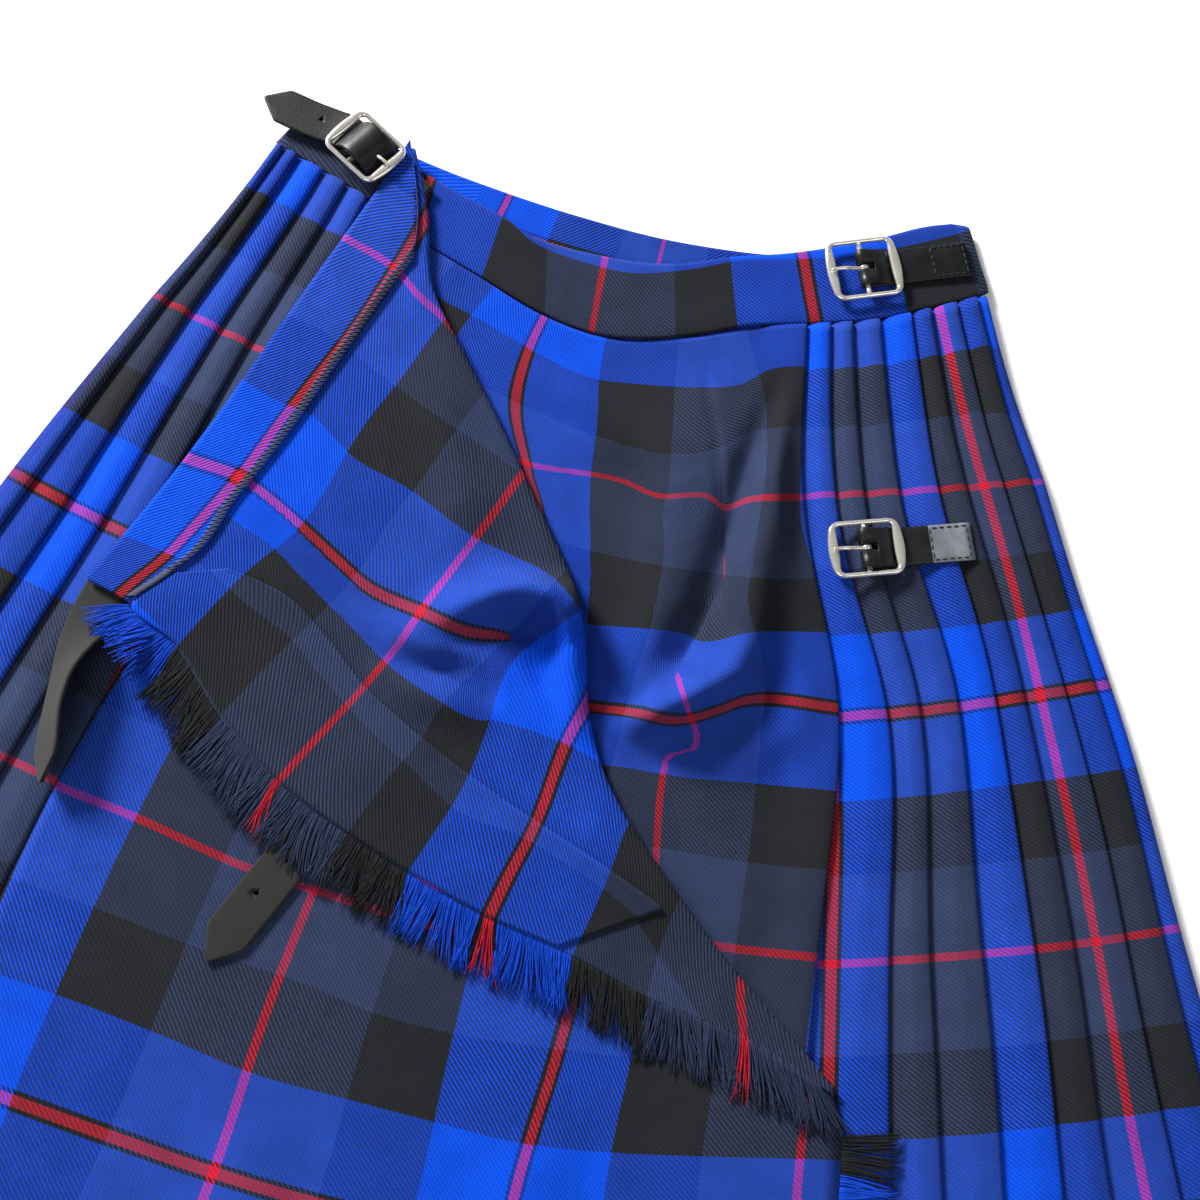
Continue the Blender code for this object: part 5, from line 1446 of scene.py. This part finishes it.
def make_prong(name, spec):
    bar = spec["bar"]
    rim_top = bar + FRAME_RISE + WIRE
    seat = rim_top + SEAM_GAP + PRONG_RADIUS
    reach = -(0.5 * spec["along"] - WIRE)
    if name == "left_waist":
        path = [(-1.95, 0, bar + 0.4), (-6.0, 0, bar + 0.7), (-9.0, 0, bar + 2.2),
                (reach + 1.5, 0, seat + 0.1), (reach - 2.0, 0, seat + 0.1)]
    else:
        path = [(-1.7, 0, bar + 0.7), (-6.0, 0, bar + 0.62 * (seat - bar)), (-10.0, 0, seat),
                (reach, 0, seat), (reach - 1.8, 0, seat - 0.2)]
    path = smooth_path(path, 6)
    last = len(path) - 1
    points, sides = [], 12
    for i, p in enumerate(path):
        along = path[min(i + 1, last)] - path[max(i - 1, 0)]
        along /= np.linalg.norm(along)
        side = np.array((0.0, 1.0, 0.0))
        up = np.cross(side, along)
        near_end = (last - i) / 3.0
        size = PRONG_RADIUS * (1.0 if near_end >= 1 else math.sqrt(max(1 - (1 - near_end) ** 2, 0.1)))
        wide = size * (1.25 - 0.25 * i / last)
        for k in range(sides):
            t = 2 * math.pi * k / sides
            points.append(p + side * wide * math.cos(t) + up * size * math.sin(t))
    faces = tube_faces(last + 1, sides)
    shift, count, rim = len(points), 28, len(EYE_PROFILE)
    for k in range(count):
        t = 2 * math.pi * k / count
        direction = np.array((math.cos(t), 0.0, math.sin(t)))
        points += [np.array((0.0, side, bar)) + direction * radius for radius, side in EYE_PROFILE]
    for k in range(count):
        for j in range(rim):
            a, b = shift + k * rim + j, shift + k * rim + (j + 1) % rim
            ahead = ((k + 1) % count - k) * rim
            faces.append((a, b, b + ahead, a + ahead))
    buckle_piece(name + "_pin", points, faces, spec, NICKEL, "buckle_metal", name + "_prong",
                 PRONG_BODIES[name])


def tab_path(name, spec):
    """Middle line of a tab, looped round the buckle's bar, as x and z."""
    mid = 0.5 * TAB_THICK
    bar = spec["bar"]
    loop = BAR_RADIUS + SEAM_GAP + mid
    rim = mid + 0.1
    fastened = name == "left_waist"
    path = [(spec["tab"], mid), (0.5 * (spec["tab"] + 18.0), mid), (18.0, mid), (13.5, rim)]
    if fastened:
        path.append((9.6, rim + 0.2))
    path.append((5.0, bar - loop))
    for angle in (-90, -115, -140, -160, -180, -200, -220, -245, -270):
        turn = math.radians(angle)
        path.append((loop * math.cos(turn), bar + loop * math.sin(turn)))
    path.append((4.0, bar + 0.62 * loop))
    path += [(6.2, 6.0)] if fastened else [(8.0, bar + 0.1), (11.0, rim + TAB_THICK + 0.9)]
    return path


def make_tab(name, spec):
    fine = smooth_path([(x, 0.0, z) for x, z in tab_path(name, spec)], 4)
    points = []
    for i, p in enumerate(fine):
        along = fine[min(i + 1, len(fine) - 1)] - fine[max(i - 1, 0)]
        along /= np.linalg.norm(along)
        side = np.array((0.0, 1.0, 0.0))
        up = np.cross(along, side)
        for a, b in TAB_PROFILE:
            points.append(p + side * TAB_WIDTH * a - up * TAB_THICK * b)
    faces = tube_faces(len(fine), len(TAB_PROFILE))
    obj = buckle_piece(name + "_leather", points, faces, spec, TAB_LEATHER, "strap_leather", name + "_tab")
    bm = bmesh.new()
    bmesh.ops.create_cube(bm, size=1.0)
    bmesh.ops.scale(bm, vec=[size * MM for size in PRONG_SLOT], verts=bm.verts)
    bmesh.ops.translate(bm, vec=(PRONG_SLOT_AT * MM, 0.0, spec["bar"] * MM), verts=bm.verts)
    bmesh.ops.transform(bm, matrix=buckle_matrix(spec), verts=bm.verts)
    cut_away(obj, bm)
    # Upward faces of the hip tab past its stitches get the paler grey leather: a painted sheen where light
    # catches the leather
    if name == "right_hip":
        obj.data.materials.append(PAINTED_SHEEN_LEATHER)
        inward = buckle_matrix(spec).inverted()
        for polygon in obj.data.polygons:
            along = ((inward @ polygon.center) / MM).x
            if along > HIP_STITCHES and polygon.normal.z > 0.5:
                polygon.material_index = 1


def stitches(name, runs, finish, radius=0.32, length=2.2, gap=0.9, slot="strap_leather"):
    """Sewn stitches as small rounded bars along runs of points on the plan."""
    points, faces = [], []
    sides = 6
    for run in runs:
        run = np.array(run, dtype=float)
        walked = np.concatenate(([0.0], np.cumsum(np.linalg.norm(np.diff(run, axis=0), axis=1))))
        count = max(int(walked[-1] / (length + gap)), 1)
        for s in range(count):
            start = walked[-1] * s / count
            stop = start + walked[-1] / count - gap
            a, b = (np.array([np.interp(t, walked, run[:, k]) for k in range(3)]) for t in (start, stop))
            along = (b - a) / max(np.linalg.norm(b - a), 1e-6)
            side = np.cross(along, (0.0, 0.0, 1.0))
            side /= max(np.linalg.norm(side), 1e-6)
            up = np.cross(side, along)
            first = len(points)
            for share, size, sink in ((0.0, 0.45, -0.3), (0.2, 1.0, 0.0), (0.8, 1.0, 0.0), (1.0, 0.45, -0.3)):
                for k in range(sides):
                    t = 2 * math.pi * k / sides
                    points.append(a + (b - a) * share + side * radius * size * math.cos(t)
                                  + up * (radius * size * math.sin(t) + sink * radius))
            faces += tube_faces(4, sides, first)
    return mesh_piece(name, place(points), faces, finish, slot)


def buckle_point(spec, x, y, z):
    """Plan point of a place given in a buckle's own millimetres."""
    turn = math.radians(spec["turn"])
    return (spec["x"] + x * math.cos(turn) - y * math.sin(turn), spec["y"] + x * math.sin(turn)
            + y * math.cos(turn), spec["bed"] + z)


def make_stitching():
    top = TAB_THICK + 0.12
    runs = []
    for name, inner in (("right_waist", 34.0), ("right_hip", HIP_STITCHES)):
        spec = BUCKLES[name]
        half, far = 0.5 * TAB_WIDTH - 1.6, spec["tab"] - 1.8
        box_run = ((inner, -half), (far, -half), (far, half), (inner, half), (inner, -half))
        corners = [buckle_point(spec, x, y, top) for x, y in box_run]
        runs += zip(corners, corners[1:])
    stitches("tab_stitches", runs, BLACK_THREAD)
    zigzag = []
    rows = np.linspace(0.6, 6.8, 214)
    for k, row in enumerate(rows):
        length = np.linalg.norm((flap_point(row, 1.0) - flap_point(row, 0.0))[:2])
        away = max(WAIST_FACING.at("reach", row) - (-0.4 if k % 2 else 5.2), 0.8)
        zigzag.append(flap_point(row, 1.0 - min(away, 0.9 * length) / length) + np.array((0.0, 0.0, 1.95)))
    stitches("facing_overlock", zip(zigzag, zigzag[1:]), OVERLOCK_THREAD, 0.42, 6.0, 0.1, "facing_cloth")


def make_buckles():
    for name, spec in BUCKLES.items():
        make_frame(name, spec)
        make_tab(name, spec)
        make_prong(name, spec)


# Surroundings

FLOOR_HALF = 3.0
FLOOR_LEVEL = -0.0002
LIGHT_TARGET = Vector((0.0, 0.05, 0.0))


def make_floor():
    shade = Shade("pale_floor", Roughness=0.9)
    fine = shade.noise(shade.where(), 40.0, 2.0)
    shade.set("Base_Color", shade.ramp(fine, [(0.3, (250, 250, 250)), (0.7, (253, 253, 253))]))
    mesh = bpy.data.meshes.new("floor")
    corners = ((-1, -1), (1, -1), (1, 1), (-1, 1))
    mesh.from_pydata([(x * FLOOR_HALF, y * FLOOR_HALF, FLOOR_LEVEL) for x, y in corners], [], [(0, 1, 2, 3)])
    mesh.materials.append(shade.material)
    floor = bpy.data.objects.new("floor", mesh)
    bpy.context.scene.collection.objects.link(floor)


def area_light(name, at, size, power):
    light = bpy.data.lights.new(name, "AREA")
    light.shape = "RECTANGLE"
    light.size, light.size_y = size
    light.energy = power
    obj = bpy.data.objects.new(name, light)
    bpy.context.scene.collection.objects.link(obj)
    obj.location = at
    obj.rotation_euler = (LIGHT_TARGET - Vector(at)).to_track_quat("-Z", "Y").to_euler()


def make_lights():
    area_light("key_softbox", (-1.9, 1.7, 1.25), (0.8, 0.6), 182.0)
    area_light("fill_softbox", (1.1, -0.3, 1.4), (1.0, 1.0), 5.0)
    area_light("front_softbox", (-0.5, -1.0, 1.3), (1.2, 0.8), 7.0)
    world = bpy.data.worlds.new("studio")
    world.use_nodes = True
    world.node_tree.nodes["Background"].inputs["Color"].default_value = (1.0, 1.0, 1.0, 1.0)
    world.node_tree.nodes["Background"].inputs["Strength"].default_value = 0.22
    bpy.context.scene.world = world


def make_camera():
    camera = bpy.data.cameras.new("camera")
    camera.sensor_width = 36.0
    camera.lens = LENS
    camera.clip_start = 0.01
    obj = bpy.data.objects.new("camera", camera)
    bpy.context.scene.collection.objects.link(obj)
    right, up, forward = (Vector(axis) for axis in CAMERA_AXES)
    turn = Matrix((right, up, -forward)).transposed()
    obj.matrix_world = Matrix.Translation(Vector(CAMERA_AT) * MM) @ turn.to_4x4()
    bpy.context.scene.camera = obj
    bpy.context.scene.view_settings.view_transform = "Standard"


def main():
    pleats = make_pleated_panel()
    under = make_under_apron()
    over = make_over_apron()
    waist_facing, edge_facing = make_facings()
    band = make_waistband()
    flap_fringe = make_flap_fringe()
    hem_fringe = make_hem_fringe()
    make_straps()
    make_buckles()
    make_stitching()
    make_floor()
    make_lights()
    make_camera()


main()
